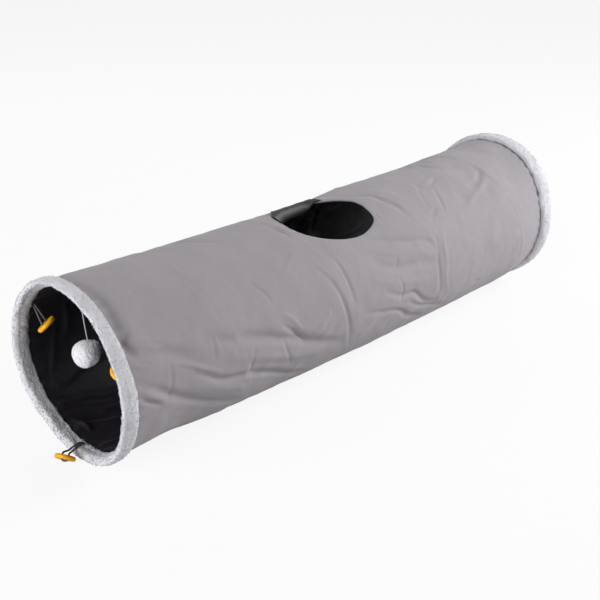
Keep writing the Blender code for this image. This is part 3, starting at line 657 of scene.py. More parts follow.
def drawn_tube(name, path, radius, sides, spun=None, cyclic=False):
    """A tube drawn along a path. spun(along, around) gives the strands' relief as a share of the radius."""
    path = np.asarray(path, float)
    ahead = np.roll(path, -1, 0) - np.roll(path, 1, 0)
    if not cyclic:
        ahead[0] = path[1] - path[0]
        ahead[-1] = path[-1] - path[-2]
    ahead /= np.linalg.norm(ahead, axis=1)[:, None]
    side = np.cross(ahead[0], (0.3, 0.5, 0.8))
    sideways = []
    for direction in ahead:
        side = side - direction * (side @ direction)
        side = side / np.linalg.norm(side)
        sideways.append(side)
    sideways = np.array(sideways)
    upwards = np.cross(ahead, sideways)
    steps = np.linalg.norm(np.diff(path, axis=0), axis=1)
    along = np.concatenate([[0], np.cumsum(steps)])[:, None]
    around = (np.arange(sides) / sides * math.tau)[None, :]
    relief = np.zeros((len(path), sides)) if spun is None else spun(along, around)
    reach = radius * (1 + relief)
    rings = (path[:, None, :] + (reach * np.cos(around))[..., None] * sideways[:, None, :]
             + (reach * np.sin(around))[..., None] * upwards[:, None, :])
    made = skinned(name, rings, cyclic)
    keep_values(made, "strands", relief)
    return made


wire_finish, inputs, thread = new_finish("spring_steel", {"Metallic": 1.0, "IOR": 2.4})
marks = grain(thread, place_on(thread), 900)
feed(inputs, Base_Color=dyed(thread, marks, (0.36, 0.36, 0.37), (0.55, 0.55, 0.56)),
     Roughness=0.25 + marks * 0.2, Normal=raised(thread, marks, 0.00002))

leaving = eased((from_nearest_end(wire_x) - HOOP_INSET - HOOP_STEP) / (OUTER_FLAP - HOOP_INSET - HOOP_STEP))
hoop_depth = COVER_RADIUS - HOOP_RADIUS
wire_depth = hoop_depth + (WIRE_DEPTH - hoop_depth) * leaving
spring_wire = drawn_tube("spring_wire_drawn",
                         wall_points(wire_x, wire_angle, wire_depth,
                                     cover_relief(wire_x, wire_angle) * leaving),
                         WIRE_DIAMETER / 2, 10)
spring_wire.data.materials.append(wire_finish)
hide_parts("spring_wire")
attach(spring_wire, "near_end")
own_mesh(spring_wire)


# Wire sleeves. Two short crimped steel tubes, one in each plush band, which close the end hoops where
# the wire lies beside itself. They are hidden in the bands and keep their plain form.
sleeve_finish, inputs, thread = new_finish("crimped_sleeve", {"Metallic": 1.0})
scratches = grain(thread, place_on(thread), 1600)
feed(inputs, Base_Color=dyed(thread, scratches, (0.45, 0.45, 0.46), (0.62, 0.62, 0.63)),
     Roughness=0.2 + scratches * 0.2, Normal=raised(thread, scratches, 0.00003))
for end in ("near", "far"):
    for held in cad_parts[f"{end}_wire_sleeve"].material_slots:
        held.material = sleeve_finish


# Peephole hem. The cover's and the lining's edges round the peephole, turned in against each other and
# rolled to a narrow firm edge of the cover's own cloth.
HEM_DIAMETER = 0.0024
HEM_DEPTH = 0.00265
HEM_POINTS = 220
HEM_ROLL_HEIGHT = 0.06
HEM_ROLL_TURNS = 1900


def hole_outline(turn, wider=0):
    """The peephole's outline, or one so much wider, in metres along the tunnel and round it."""
    along = np.sign(np.cos(turn)) * np.abs(np.cos(turn)) ** (2 / HOLE_POWER) * (HOLE_LENGTH + wider) / 2
    across = np.sign(np.sin(turn)) * np.abs(np.sin(turn)) ** (2 / HOLE_POWER) * (HOLE_WIDTH + wider) / 2
    return (along * math.cos(HOLE_TURN) - across * math.sin(HOLE_TURN),
            along * math.sin(HOLE_TURN) + across * math.cos(HOLE_TURN))


hem_along, hem_round = hole_outline(np.arange(HEM_POINTS) / HEM_POINTS * math.tau, HEM_DIAMETER)
hem_x = HOLE_OFFSET + hem_along
hem_angle = HOLE_ANGLE + hem_round / COVER_RADIUS
hem_line = wall_points(hem_x, hem_angle, HEM_DEPTH, cover_relief(hem_x, hem_angle))
peephole_hem = drawn_tube(
    "peephole_hem_rolled", hem_line, HEM_DIAMETER / 2, 12,
    lambda along, around: HEM_ROLL_HEIGHT * np.sin(along * HEM_ROLL_TURNS + around), cyclic=True)
peephole_hem.data.materials.append(suedette)
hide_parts("peephole_hem")
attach(peephole_hem, "near_end")
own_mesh(peephole_hem)


# Inner lining. One piece of thin, crisp black woven cloth inside the wire, sewn to the cover round the
# peephole and held by the bands at its ends. It is a little too long, so it lies in lengthwise wrinkles.
LINING_CELLS = (300, 240)
LINING_SPAN = 0.8594
LINING_INSIDE = 0.0049
LINING_SLACK = 0.0012
LINING_CRUMPLE = 0.0006
LINING_SCATTERED_FOLDS = 44
# The lip of the lining that is turned out over the peephole's far left edge: the degrees of the peephole
# that it fills and those that it widens over at either end, how far in it starts, as a share of the way to
# the peephole's middle, the share of its cloth that rolls over the edge, and how it lies
LIP_DEGREES = (172, 288)
LIP_WIDENING = ((176, 28), (288, 26))
LIP_CELLS = (80, 34)
LIP_INSIDE = 0.18
LIP_INSIDE_AT_ENDS = 0.03
LIP_ROLL = 0.35
LIP_DROP = 0.014
LIP_CURL = 1.7
LIP_SLANT = 0.045
LIP_PROUD = 0.0007
LIP_CRUMPLE = 0.0006
LIP_EDGE_ANGLE = math.radians(-35)
# Where the lip's colour is lightened by a painted highlight, and where it is darkened by painted shade, from
# its inside to its edge
LIP_PAINTED_HIGHLIGHT_LINE = ((0, 0), (0.04, 0), (0.16, 0.75), (0.20, 0.75), (0.30, 0.15), (1, 0.1))
LIP_SHADE = 0.6
LIP_SHADE_END = (0.22, 0.1)
LINING_FOLDS = (
    (2.0, 5, (-384, -84), (-390, -93), (-400, -107), (-409, -121), (-404, -132)),
    (4.5, 10, (-420, -122), (-395, -124), (-367, -120), (-330, -115), (-280, -112)),
    (5.0, 7, (-430, -136), (-409, -137), (-376, -140), (-342, -145), (-290, -147)),
    (4.5, 6, (-430, -145), (-414, -147), (-384, -151), (-357, -156), (-300, -158)),
    (5.0, 7, (-430, -160), (-417, -161), (-393, -163), (-368, -167), (-320, -170)),
    (4.0, 5, (-417, -153), (-409, -160), (-404, -168)),
    (4.0, 7, (-425, 174), (-380, 169), (-340, 173), (-290, 170)),
    (3.5, 6, (-425, 160), (-370, 155), (-310, 159)),
    (2.5, 6, (-375, -60), (-368, -78), (-372, -96)),
)
# Where the sewn-on elastics and loops keep the lining smooth: at which end, and degrees from the top
LINING_SMOOTH = ((-1, -57), (-1, 63), (1, -57), (1, 63), (1, 183))
SMOOTH_SHARE = 0.85
SMOOTH_START = 0.355
SMOOTH_FADE = 0.03
SMOOTH_SPREAD = 22


def lining_place(x, angle):
    """Points of the lining, which wrinkles inwards from the wire except where it is sewn down."""
    to_hole, shoulder = beside_hole(x, angle)
    loose = eased(to_hole / 0.02) * eased((LINING_SPAN / 2 - np.abs(x)) / 0.012)
    scattered = scattered_folds(LINING_SCATTERED_FOLDS, (-180, 180), 19)
    wrinkles = -fold_relief(x, angle, LINING_FOLDS) - fold_relief(x, angle, scattered)
    wrinkles = np.maximum(wrinkles, 0) + LINING_SLACK * (1 + waves(x, angle, (14, 40), 21)) / 2
    wrinkles += LINING_CRUMPLE * (1 + waves(x, angle, (50, 90), 22)) / 2
    for facing, degrees in LINING_SMOOTH:
        to_end = eased((facing * x - SMOOTH_START) / SMOOTH_FADE)
        wrinkles *= 1 - SMOOTH_SHARE * to_end * close_to(angle, degrees, SMOOTH_SPREAD)
    return wall_points(x, angle, LINING_INSIDE + wrinkles * loose - shoulder, cover_relief(x, angle))


lining_finish, inputs, thread = new_finish("lining", {"Specular IOR Level": 0.25, "Sheen Weight": 0.05,
                                                       "Sheen Roughness": 0.35})
cloth = cloth_place(thread)
warp = thread.spin("TexWave", {"bands_direction": "X"}, {"Vector": cloth, "Scale": 420.0, "Distortion": 0.8})
weft = thread.spin("TexWave", {"bands_direction": "Y"}, {"Vector": cloth, "Scale": 420.0, "Distortion": 0.8})
rubbed = grain(thread, cloth, 60, 4.0)
shaded = kept_value(thread, "dull")
woven = dyed(thread, rubbed * 0.6 + warp * weft * 0.4, (0.011, 0.009, 0.0135), (0.034, 0.030, 0.041))
# Painted shade: the lip is dyed towards black, darkest on its inside, and made duller there
woven = dyed(thread, shaded, woven, (0.001, 0.001, 0.001))
# Painted highlight: the lip's ridge is dyed pale grey by the value that the mesh keeps for it
feed(inputs, Base_Color=dyed(thread, kept_value(thread, "pale"), woven, (0.22, 0.215, 0.22)),
     Roughness=0.38 + rubbed * 0.2 + shaded * 0.5,
     Normal=raised(thread, warp * 0.5 + weft * 0.5, 0.0002, 0.5))

inner_lining = rolled_cloth("inner_lining_sewn", -LINING_SPAN / 2, LINING_SPAN / 2, LINING_CELLS,
                            lining_place)
turned_out, out = np.meshgrid(np.radians(np.linspace(*LIP_DEGREES, LIP_CELLS[0] + 1)),
                              np.linspace(0, 1, LIP_CELLS[1] + 1), indexing="ij")
edge_along, edge_round = hole_outline(turned_out)
(lip_start, start_width), (lip_end, end_width) = LIP_WIDENING
full = (eased((np.degrees(turned_out) - lip_start) / start_width)
        * eased((lip_end - np.degrees(turned_out)) / end_width))
rolled_in = (LIP_INSIDE * (LIP_INSIDE_AT_ENDS + (1 - LIP_INSIDE_AT_ENDS) * full)
             * np.clip(1 - out / LIP_ROLL, 0, 1))
lip_x = HOLE_OFFSET + edge_along * (1 - rolled_in)
lip_angle = HOLE_ANGLE + edge_round * (1 - rolled_in) / COVER_RADIUS
beyond = np.clip((out - LIP_ROLL) / (1 - LIP_ROLL), 0, 1)
lip_angle += (LIP_EDGE_ANGLE - lip_angle) * beyond * full
lip_x += LIP_SLANT * beyond * full
lip_depth = (LIP_DROP * (rolled_in / LIP_INSIDE) ** LIP_CURL - LIP_PROUD
             - LIP_CRUMPLE * waves(lip_x * 3, lip_angle * 2, (30, 24), 61))
lip_points = wall_points(lip_x, lip_angle, lip_depth, cover_relief(lip_x, lip_angle))
shape = bmesh.new()
shape.from_mesh(inner_lining.data)
cloth_layer = shape.loops.layers.float_vector["cloth"]
corners = [[shape.verts.new(point) for point in row] for row in lip_points]
for row in range(LIP_CELLS[0]):
    for column in range(LIP_CELLS[1]):
        places = ((row, column), (row, column + 1), (row + 1, column + 1), (row + 1, column))
        face = shape.faces.new([corners[first][second] for first, second in places])
        face.smooth = True
        for loop, place in zip(face.loops, places):
            loop[cloth_layer] = (lip_x[place], lip_angle[place] * COVER_RADIUS, 0)
shape.to_mesh(inner_lining.data)
shape.free()
inner_lining.data.flip_normals()
# The lip's painted highlight, pale along its ridge
lip_painted_highlight = drawn_line(LIP_PAINTED_HIGHLIGHT_LINE, out, soften=0.03) * full
# The lip's painted shade and dullness, strongest on its inside
lip_painted_shade_and_dullness = 1 - LIP_SHADE * eased((out - LIP_SHADE_END[0]) / LIP_SHADE_END[1])
plain_wall = np.zeros(len(inner_lining.data.vertices) - out.size)
keep_values(inner_lining, "pale", np.concatenate([plain_wall, lip_painted_highlight.ravel()]))
keep_values(inner_lining, "dull", np.concatenate([plain_wall, lip_painted_shade_and_dullness.ravel()]))
inner_lining.data.materials.append(lining_finish)
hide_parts("inner_lining")
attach(inner_lining, "near_end")
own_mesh(inner_lining)


# Plush bands. A strip of pale grey fleece folded round each end hoop, its two flaps sewn to the cover
# outside and to the lining inside. The pile is short and soft, and curls into small uneven locks.
NOSE = 0.0070
INNER_FLAP = 0.020
BAND_CELLS = (62, 640)
CLUMP_SPACING = 0.0042
CLUMP_HEIGHT = 0.0006
CURL_HEIGHT = 0.0003
PILE_SINK = 0.0004
SWELL = 0.0011
RAGGED = 0.0018
LOCKS_PER_BAND = 6500
LOCK_LENGTH = 0.0019
LOCK_THICKNESS = 0.0015
# Painted shade on each band's inner flap along its upper back side, dyeing it towards black: how deep in it
# starts, over what depth it comes in, the degrees from the top where it lies, and its spread
PAINTED_SHADE_START = 0.0095
PAINTED_SHADE_WIDTH = 0.0120
PAINTED_SHADE_DEGREES = -68
PAINTED_SHADE_SPREAD = 38
FLAP_EDGE = 0.006
TUCKED_EDGE = 0.004
# How much thinner than its section each band is inside, in millimetres, at degrees from the top
NEAR_THIN_LINE = ((-180, 1.5), (-150, 2), (-120, 2.5), (-90, 3), (-60, 4.5), (-30, 6.5), (0, 7.5), (60, 7.5),
                  (100, 7), (130, 5), (160, 2), (180, 1.5))
FAR_THIN_LINE = ((-180, 5), (180, 5))
# The band's section outside and inside its rounded nose: distances from the mouth and from the axis
OUTER_FLAP_SECTION = ((0.0246, 0.1182), (0.0253, 0.1195), (0.0251, 0.1212), (0.0233, 0.1231),
                      (0.0195, 0.1244), (0.0140, 0.1251))
INNER_FLAP_SECTION = ((0.0105, 0.1116), (0.0140, 0.1128), (0.0175, 0.1134), (0.0198, 0.1132),
                      (0.0205, 0.1138), (0.0202, 0.1148))


def clumps(points, places, radius, seed):
    """Height from 0 to 1 of soft clumps of pile that stand at places on a surface."""
    rng = np.random.default_rng(seed)
    sizes = radius * rng.uniform(0.7, 1.3, len(places))
    tree = KDTree(len(places))
    for index, place in enumerate(places):
        tree.insert(place, index)
    tree.balance()
    heights = np.zeros(len(points))
    for number, point in enumerate(points):
        height = 0.0
        for _, index, distance in tree.find_n(point, 3):
            off = distance / sizes[index]
            if off < 1:
                height += (1 - off * off) ** 1.5 * sizes[index] / radius
        heights[number] = height
    return np.minimum(heights, 1.3) / 1.3


def with_locks(points, outward, faces, shade, count, length, thickness, seed):
    """Adds short curled locks of pile, which lie over the surface, to its points, faces and shades.

    Each lock has three points at its root, three at its middle and one at its tip.
    """
    rng = np.random.default_rng(seed)
    chosen = rng.integers(0, len(points), count)
    root, up = points[chosen], outward[chosen]
    lie = rng.normal(size=(count, 3))
    lie -= up * (lie * up).sum(1)[:, None]
    lie /= np.linalg.norm(lie, axis=1)[:, None]
    across = np.cross(up, lie)
    long = length * rng.uniform(0.6, 1.3, (count, 1))
    curl = long * rng.uniform(-0.6, 0.6, (count, 1))
    thick = thickness * rng.uniform(0.6, 1.2, (count, 1))
    middle = root + lie * long * 0.5 + up * long * 0.14 + across * curl * 0.35
    tip = root + lie * long + up * long * rng.uniform(-0.1, 0.12, (count, 1)) + across * curl
    rows = []
    for place, width in ((root - up * thick * 0.5, thick), (middle, thick * 0.85)):
        for turn in np.arange(3) / 3 * math.tau:
            rows.append(place + (across * math.cos(turn) + up * math.sin(turn)) * width / 2)
    rows.append(tip)
    first = len(points) + np.arange(count)[:, None] * len(rows)
    sides = np.concatenate([first + [0, 1, 4, 3], first + [1, 2, 5, 4], first + [2, 0, 3, 5]])
    tips = np.concatenate([first + [3, 4, 6], first + [4, 5, 6], first + [5, 3, 6], first + [2, 1, 0]])
    # Each lock's colour share: painted shade from its clump's height and darker at its root, with a random
    # tone of its own
    tone = shade[chosen] * 0.6 + rng.uniform(0.25, 0.45, count)
    shades = tone[:, None] * np.array([0.9] * 3 + [1.0] * 3 + [1.1])
    return (np.concatenate([points, np.stack(rows, axis=1).reshape(-1, 3)]),
            faces + sides.tolist() + tips.tolist(), np.concatenate([shade, shades.ravel()]))


def fleece_threads(thread, hair_scale, tangle_scale, dark, pale):
    """The colour of fleece, with painted shade down in its pile, random tone in its locks and tangle, and
    the grain of its hairs.
    """
    hairs = grain(thread, place_on(thread), hair_scale, 3.0, 0.7)
    tangle = grain(thread, place_on(thread), tangle_scale, 4.0, 0.7)
    return dyed(thread, kept_value(thread, "pile") * 0.5 + hairs * 0.2 + tangle * 0.3, dark, pale), hairs


plush, inputs, thread = new_finish("plush", {"Roughness": 1.0, "Specular IOR Level": 0.1,
                                             "Sheen Weight": 0.25, "Sheen Roughness": 0.6,
                                             "Sheen Tint": (0.95, 0.95, 1.0, 1)})
fleece, hairs = fleece_threads(thread, 1300, 160, (0.49, 0.485, 0.52), (0.77, 0.765, 0.81))
# The fleece is dyed towards black by the painted shade that each band keeps on its inner flap
feed(inputs, Base_Color=dyed(thread, kept_value(thread, "bare"), fleece, (0.03, 0.03, 0.035)),
     Normal=raised(thread, hairs, 0.0005, 0.5))

nose_start = len(OUTER_FLAP_SECTION)
nose = [(NOSE + NOSE * math.cos(turn), RIM_RADIUS - NOSE + NOSE * math.sin(turn))
        for turn in np.radians(np.arange(90, 271, 15))]
section = np.array([*OUTER_FLAP_SECTION, *nose, *INNER_FLAP_SECTION])
run = np.concatenate([[0], np.cumsum(np.linalg.norm(np.diff(section, axis=0), axis=1))])
steps = np.linspace(0, run[-1], BAND_CELLS[0] + 1)
inset = np.interp(steps, run, section[:, 0])
radius = np.interp(steps, run, section[:, 1])
out_x = np.gradient(radius)
out_r = -np.gradient(inset)
reach = np.hypot(out_x, out_r)
out_x, out_r = out_x / reach, out_r / reach
thinned = (np.clip((RIM_RADIUS - radius) / (2 * NOSE), 0, 1) * (steps > run[nose_start])
           * (1 - eased((inset - NOSE) / (INNER_FLAP - NOSE))))
for end, facing, thin_line in (("near", -1, NEAR_THIN_LINE), ("far", 1, FAR_THIN_LINE)):
    seed = 31 if end == "near" else 32
    rng = np.random.default_rng(seed)
    spread, turn = np.meshgrid(np.arange(len(steps)), np.arange(BAND_CELLS[1]) / BAND_CELLS[1] * math.tau,
                               indexing="ij")
    spread, turn = spread.ravel(), turn.ravel()
    edge = (1 - eased(np.minimum(steps, run[-1] - steps) / FLAP_EDGE))[spread]
    ragged = RAGGED * waves(0 * turn, turn, (2, 74), seed + 4) * edge
    x = facing * (TUNNEL_LENGTH / 2 - inset[spread] + ragged)
    thin = drawn_line(thin_line, np.degrees(turn), soften=10, lap=360) / 1000

    def band_points(x, height):
        """Points of the band's surface and their outward ways, with the pile so high."""
        r = radius[spread] + thin * thinned[spread] + out_of_round(x, turn) + out_r[spread] * height
        along = x + facing * out_x[spread] * height + drawn_along(x, turn)
        level = np.maximum(RIM_AXIS_HEIGHT + r * np.cos(turn), 0.0002)
        outward = np.stack([facing * out_x[spread], -out_r[spread] * np.sin(turn),
                            out_r[spread] * np.cos(turn)], axis=-1)
        return np.stack([along, -r * np.sin(turn), level], axis=-1), outward

    flat, _ = band_points(x, 0)
    count = int(run[-1] * math.tau * RIM_RADIUS / CLUMP_SPACING ** 2 * 1.3)
    big = clumps(flat, flat[rng.integers(0, len(flat), count)], CLUMP_SPACING, seed)
    small = clumps(flat, flat[rng.integers(0, len(flat), count * 3)], CLUMP_SPACING * 0.55, seed)
    swell = waves(steps[spread] * 5, turn, (10, 40), seed)
    tucked = eased(np.minimum(steps, run[-1] - steps) / TUCKED_EDGE)[spread]
    high = (CLUMP_HEIGHT * big + CURL_HEIGHT * small + SWELL * swell) * tucked - PILE_SINK
    points, outward = band_points(x, high)
    grid = np.arange(len(points)).reshape(len(steps), BAND_CELLS[1])
    after = np.roll(grid, -1, 1)
    quads = np.stack([grid[:-1], grid[1:], after[1:], after[:-1]], axis=-1).reshape(-1, 4)
    if facing > 0:
        quads = quads[:, ::-1]
    # The clumps' heights also give painted shade to the colour, darker between the clumps
    points, faces, shade = with_locks(points, outward, quads.tolist(), 0.6 * big + 0.4 * small,
                                      LOCKS_PER_BAND, LOCK_LENGTH, LOCK_THICKNESS, seed)
    points[:, 2] = np.maximum(points[:, 2], 0.0001)
    band = new_mesh(f"{end}_rim_fleece", points, faces)
    keep_values(band, "pile", shade)
    # Painted shade on the inside of the band's upper back side, darker deeper in towards the seam
    depth = TUNNEL_LENGTH / 2 - facing * points[:, 0]
    across, over = -points[:, 1], points[:, 2] - RIM_AXIS_HEIGHT
    inside = np.hypot(across, over) < RIM_RADIUS - NOSE
    shade_side = close_to(np.arctan2(across, over), PAINTED_SHADE_DEGREES, PAINTED_SHADE_SPREAD)
    keep_values(band, "bare", 0.95 * (inside * shade_side) * eased((depth - PAINTED_SHADE_START) / PAINTED_SHADE_WIDTH))
    band.data.materials.append(plush)
    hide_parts(f"{end}_rim_plush")
    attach(band, f"{end}_end")


# Fold loops. Three loops of flat black tape sewn into the far band's seam, which take the three buttons
# when the tunnel is folded flat. Two hang off the wall, and the lowest lies along the floor of it.
LOOP_WIDTH = 0.008
LOOP_THICKNESS = 0.0010
LOOP_HALF_GAP = 0.0065
LOOP_STRAIGHT = 0.0225
LOOP_WAIST = 0.0008
LOOP_LIFT = 0.0006
LOOP_SIDE_POINTS = 12
# Each loop: its side, degrees from the top, its seat, and whether it lies down along the floor
LOOPS = (
    ("left", -57, (0.4235, 0.0950, 0.1854), False),
    ("right", 63, (0.4235, -0.1009, 0.1752), False),
    ("bottom", 183, (0.4229, 0.0057, 0.0144), True),
)


def flat_tape(name, path, width_way, width, thickness):
    """A flat tape bent along a path, with rounded edges."""
    path = np.asarray(path, float)
    width_way = np.asarray(width_way, float)
    ahead = np.gradient(path, axis=0)
    ahead /= np.linalg.norm(ahead, axis=1)[:, None]
    out = np.cross(ahead, width_way)
    out /= np.linalg.norm(out, axis=1)[:, None]
    bevel = thickness / 4
    outline = [(-width / 2, 0.25), (-width / 2 + bevel, 0.5), (0, 0.5), (width / 2 - bevel, 0.5),
               (width / 2, 0.25), (width / 2, -0.25), (width / 2 - bevel, -0.5), (0, -0.5),
               (-width / 2 + bevel, -0.5), (-width / 2, -0.25)]
    return skinned(name, np.stack([path + width_way * across + out * thickness * up
                                   for across, up in outline], axis=1))


for side, degrees, seat, lies_down in LOOPS:
    angle = math.radians(degrees)
    across = np.array((0, -math.cos(angle), -math.sin(angle)))
    inwards = np.array((0, math.sin(angle), -math.cos(angle)))
    reach = np.array((-1.0, 0, 0)) if lies_down else inwards
    middle = LOOP_HALF_GAP + LOOP_THICKNESS / 2
    foot = LOOP_WAIST + LOOP_THICKNESS / 2
    profile = [(-foot + (foot - middle) * t, LOOP_STRAIGHT * t) for t in np.linspace(0, 1, LOOP_SIDE_POINTS)]
    profile += [(-middle * math.cos(turn), LOOP_STRAIGHT + middle * math.sin(turn))
                for turn in np.linspace(0.1, math.pi - 0.1, 2 * LOOP_SIDE_POINTS)]
    profile += [(foot + (middle - foot) * t, LOOP_STRAIGHT * t) for t in np.linspace(1, 0, LOOP_SIDE_POINTS)]
    path = [np.array(seat) + across * off + reach * (away + LOOP_LIFT) for off, away in profile]
    loop = flat_tape(f"fold_loop_{side}_tape", path, np.cross(across, reach), LOOP_WIDTH, LOOP_THICKNESS)
    loop.data.materials.append(tape_finish)
    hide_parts(f"fold_loop_{side}")
    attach(loop, f"loop_{side}")


# Toy ball. A ball of pale fleece, 36 mm across, gathered at one side, on a thin white twisted string
# that is knotted into the top seam of the near mouth.
BALL_CENTRE = np.array((-0.422, -0.010, 0.14726))
BALL_RADIUS = 0.018
BALL_PILE = 0.0006
BALL_LIFT = np.array((0.0012, -0.0012, 0.0022))
BALL_SQUEEZE = np.array((1.0, 1.0, 0.97))
BALL_CLUMPS = (560, 0.0034)
BALL_CURLS = (2200, 0.0018)
BALL_CURL_HEIGHT = 0.0003
BALL_LOCKS = 1500
BALL_LOCK_LENGTH = 0.0017
BALL_LOCK_THICKNESS = 0.0013
SLUMP = 0.0008
# The gathered lump: which way it points, how high it is and how sharply it rises
GATHER_WAY = np.array((0.71, -0.31, 0.63))
GATHER_HEIGHT = 0.0036
GATHER_POWER = 11
STRING_TOP = np.array((-0.422, -0.010, 0.23356))
STRING_DIAMETER = 0.0014
STRING_TWIST = 900
STRING_END = BALL_CENTRE + BALL_LIFT + (0.0024, -0.0024, BALL_RADIUS - 0.0015)
STRING_BOW = (0, 0.0008, 0)
KNOT_CENTRE = Vector((-0.422, -0.010, 0.23546))
KNOT_TURNS = 2
KNOT_WIDTH = 0.0010
KNOT_SWING = 0.35
KNOT_RISE = 0.0007
KNOT_POINTS = 200

ball_plush, inputs, thread = new_finish("toy_plush", {"Roughness": 1.0, "Specular IOR Level": 0.1,
                                                      "Sheen Weight": 0.3, "Sheen Roughness": 0.5})
fleece, hairs = fleece_threads(thread, 1500, 180, (0.66, 0.655, 0.70), (0.90, 0.895, 0.94))
feed(inputs, Base_Color=fleece, Normal=raised(thread, hairs, 0.0006, 0.6))

shape = bmesh.new()
bmesh.ops.create_icosphere(shape, subdivisions=6, radius=1)
ways = np.array([vertex.co[:] for vertex in shape.verts])
faces = [[vertex.index for vertex in face.verts] for face in shape.faces]
shape.free()
gather = GATHER_WAY / np.linalg.norm(GATHER_WAY)
lump = np.maximum(ways @ gather, 0) ** GATHER_POWER
slump = SLUMP * waves(ways[:, 0] * 0.5, np.arctan2(ways[:, 1], ways[:, 2]), (4, 5), 54)
points = ways * BALL_RADIUS
rng = np.random.default_rng(51)
big = clumps(points, points[rng.integers(0, len(points), BALL_CLUMPS[0])], BALL_CLUMPS[1], 52)
small = clumps(points, points[rng.integers(0, len(points), BALL_CURLS[0])], BALL_CURLS[1], 53)
reach = (BALL_RADIUS - 2 * BALL_PILE + BALL_PILE * big + BALL_CURL_HEIGHT * small
         + GATHER_HEIGHT * lump + slump)
points = BALL_CENTRE + BALL_LIFT + ways * reach[:, None] * BALL_SQUEEZE
# The clumps' heights also give painted shade to the ball's colour, darker between the clumps
points, faces, shade = with_locks(points, ways, faces, 0.6 * big + 0.4 * small, BALL_LOCKS,
                                  BALL_LOCK_LENGTH, BALL_LOCK_THICKNESS, 55)
toy_ball = new_mesh("toy_ball_fleece", points, faces)
keep_values(toy_ball, "pile", shade)
toy_ball.data.materials.append(ball_plush)
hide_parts("toy_ball")
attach(toy_ball, "ball")

string_finish, inputs, thread = new_finish("white_string", {"Roughness": 0.85, "Specular IOR Level": 0.3})
strands = kept_value(thread, "strands")
fluff = grain(thread, place_on(thread), 2500)
# Painted shade in the twist's grooves, darker there, with fluff at random
feed(inputs, Normal=raised(thread, fluff, 0.0002),
     Base_Color=dyed(thread, fluff * 0.5 + strands * 3.0 + 0.3, (0.40, 0.38, 0.40), (0.78, 0.76, 0.78)))

hang = np.linspace(0, 1, 140)[:, None]
string_path = STRING_TOP + (STRING_END - STRING_TOP) * hang + np.sin(math.pi * hang) * STRING_BOW
ball_string = drawn_tube("ball_string_twisted", string_path, STRING_DIAMETER / 2, 18,
                         lambda along, around: 0.14 * np.cos(3 * (around - along * STRING_TWIST)) - 0.06)
ball_string.data.materials.append(string_finish)
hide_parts("ball_string")
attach(ball_string, "ball")

wound = np.linspace(0, 1, KNOT_POINTS) * math.tau * KNOT_TURNS
swing = 1 + KNOT_SWING * np.cos(wound * 1.5)
knot_path = np.stack([KNOT_CENTRE.x + KNOT_WIDTH * np.cos(wound) * swing,
                      KNOT_CENTRE.y + KNOT_WIDTH * np.sin(wound) * swing,
                      KNOT_CENTRE.z + KNOT_RISE * np.sin(wound * 1.5)], axis=-1)
ball_knot = drawn_tube("ball_knot_tied", knot_path, STRING_DIAMETER / 2, 12)
ball_knot.data.materials.append(string_finish)
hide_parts("ball_knot")
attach(ball_knot, "ball_hanger")


# Toggles. Three glossy orange-yellow two-hole buttons, 28 mm across with full rounded edges, each on a
# doubled piece of black elastic sewn in behind the near band and looped through its two holes.
BUTTON_RADIUS = 0.014
BUTTON_THICKNESS = 0.0060
DISH_RADIUS = 0.0085
DISH_DEPTH = 0.0014
HOLE_SPACING = 0.0080
HOLE_RADIUS = 0.0014
HOLE_FLARE = 0.0007
ELASTIC_DIAMETER = 0.0025
STRAND_SPACING = 0.0032
BRAID_HEIGHT = 0.1
BRAID_TURNS = 2600
ELASTIC_STEP = 0.0007
# Each toggle: its side, degrees from the top, the elastic's seat, the button's centre, the way it faces and
# the way from hole to hole, the places that the elastic passes over the band, its length, and how far it
# bows over the button's dish, as a share of the way from the centre to a hole
TOGGLES = (
    ("left", -57, (-0.4255, 0.0950, 0.1855), (-0.4215, 0.0745, 0.1610), (0.433, -0.521, -0.736),
     (0.985, 0.150, 0.026), (), 0.082, 0.4),
    ("right", 63, (-0.4255, -0.1009, 0.1752), (-0.4212, -0.0855, 0.1526), (0.090, 0.520, -0.849),
     (0.985, -0.150, 0.026), (), 0.077, 0.85),
    ("bottom", 183, (-0.4255, 0.0059, 0.0107), (-0.4624, -0.0055, 0.0138), (-0.580, -0.312, -0.746),
     (0.639, -0.749, -0.175),
     ((-0.4265, 0.0059, 0.0138), (-0.4321, 0.0056, 0.0160), (-0.4409, 0.0044, 0.0156),
      (-0.4490, 0.0021, 0.0145)), 0.109, 0.7),
)

yellow_plastic, inputs, thread = new_finish("yellow_plastic", {"Specular IOR Level": 0.3,
                                                               "Coat Weight": 0.12,
                                                               "Coat Roughness": 0.15})
cast = grain(thread, place_on(thread), 120, 3.0)
handled = grain(thread, place_on(thread), 900, 4.0)
feed(inputs, Base_Color=dyed(thread, cast, (0.86, 0.38, 0.002), (0.96, 0.47, 0.004)),
     Roughness=0.28 + handled * 0.16, Normal=raised(thread, handled, 0.00004))

black_elastic, inputs, thread = new_finish("black_elastic", {"Roughness": 0.7, "Specular IOR Level": 0.4})
strands = kept_value(thread, "strands")
lint = grain(thread, place_on(thread), 1800)
# Painted highlight on the braid's raised strands and painted shade in its grooves, with lint at random
feed(inputs, Base_Color=dyed(thread, strands * 5.0 + lint * 0.7, (0.020, 0.020, 0.022), (0.24, 0.24, 0.25)),
     Normal=raised(thread, lint, 0.0001))


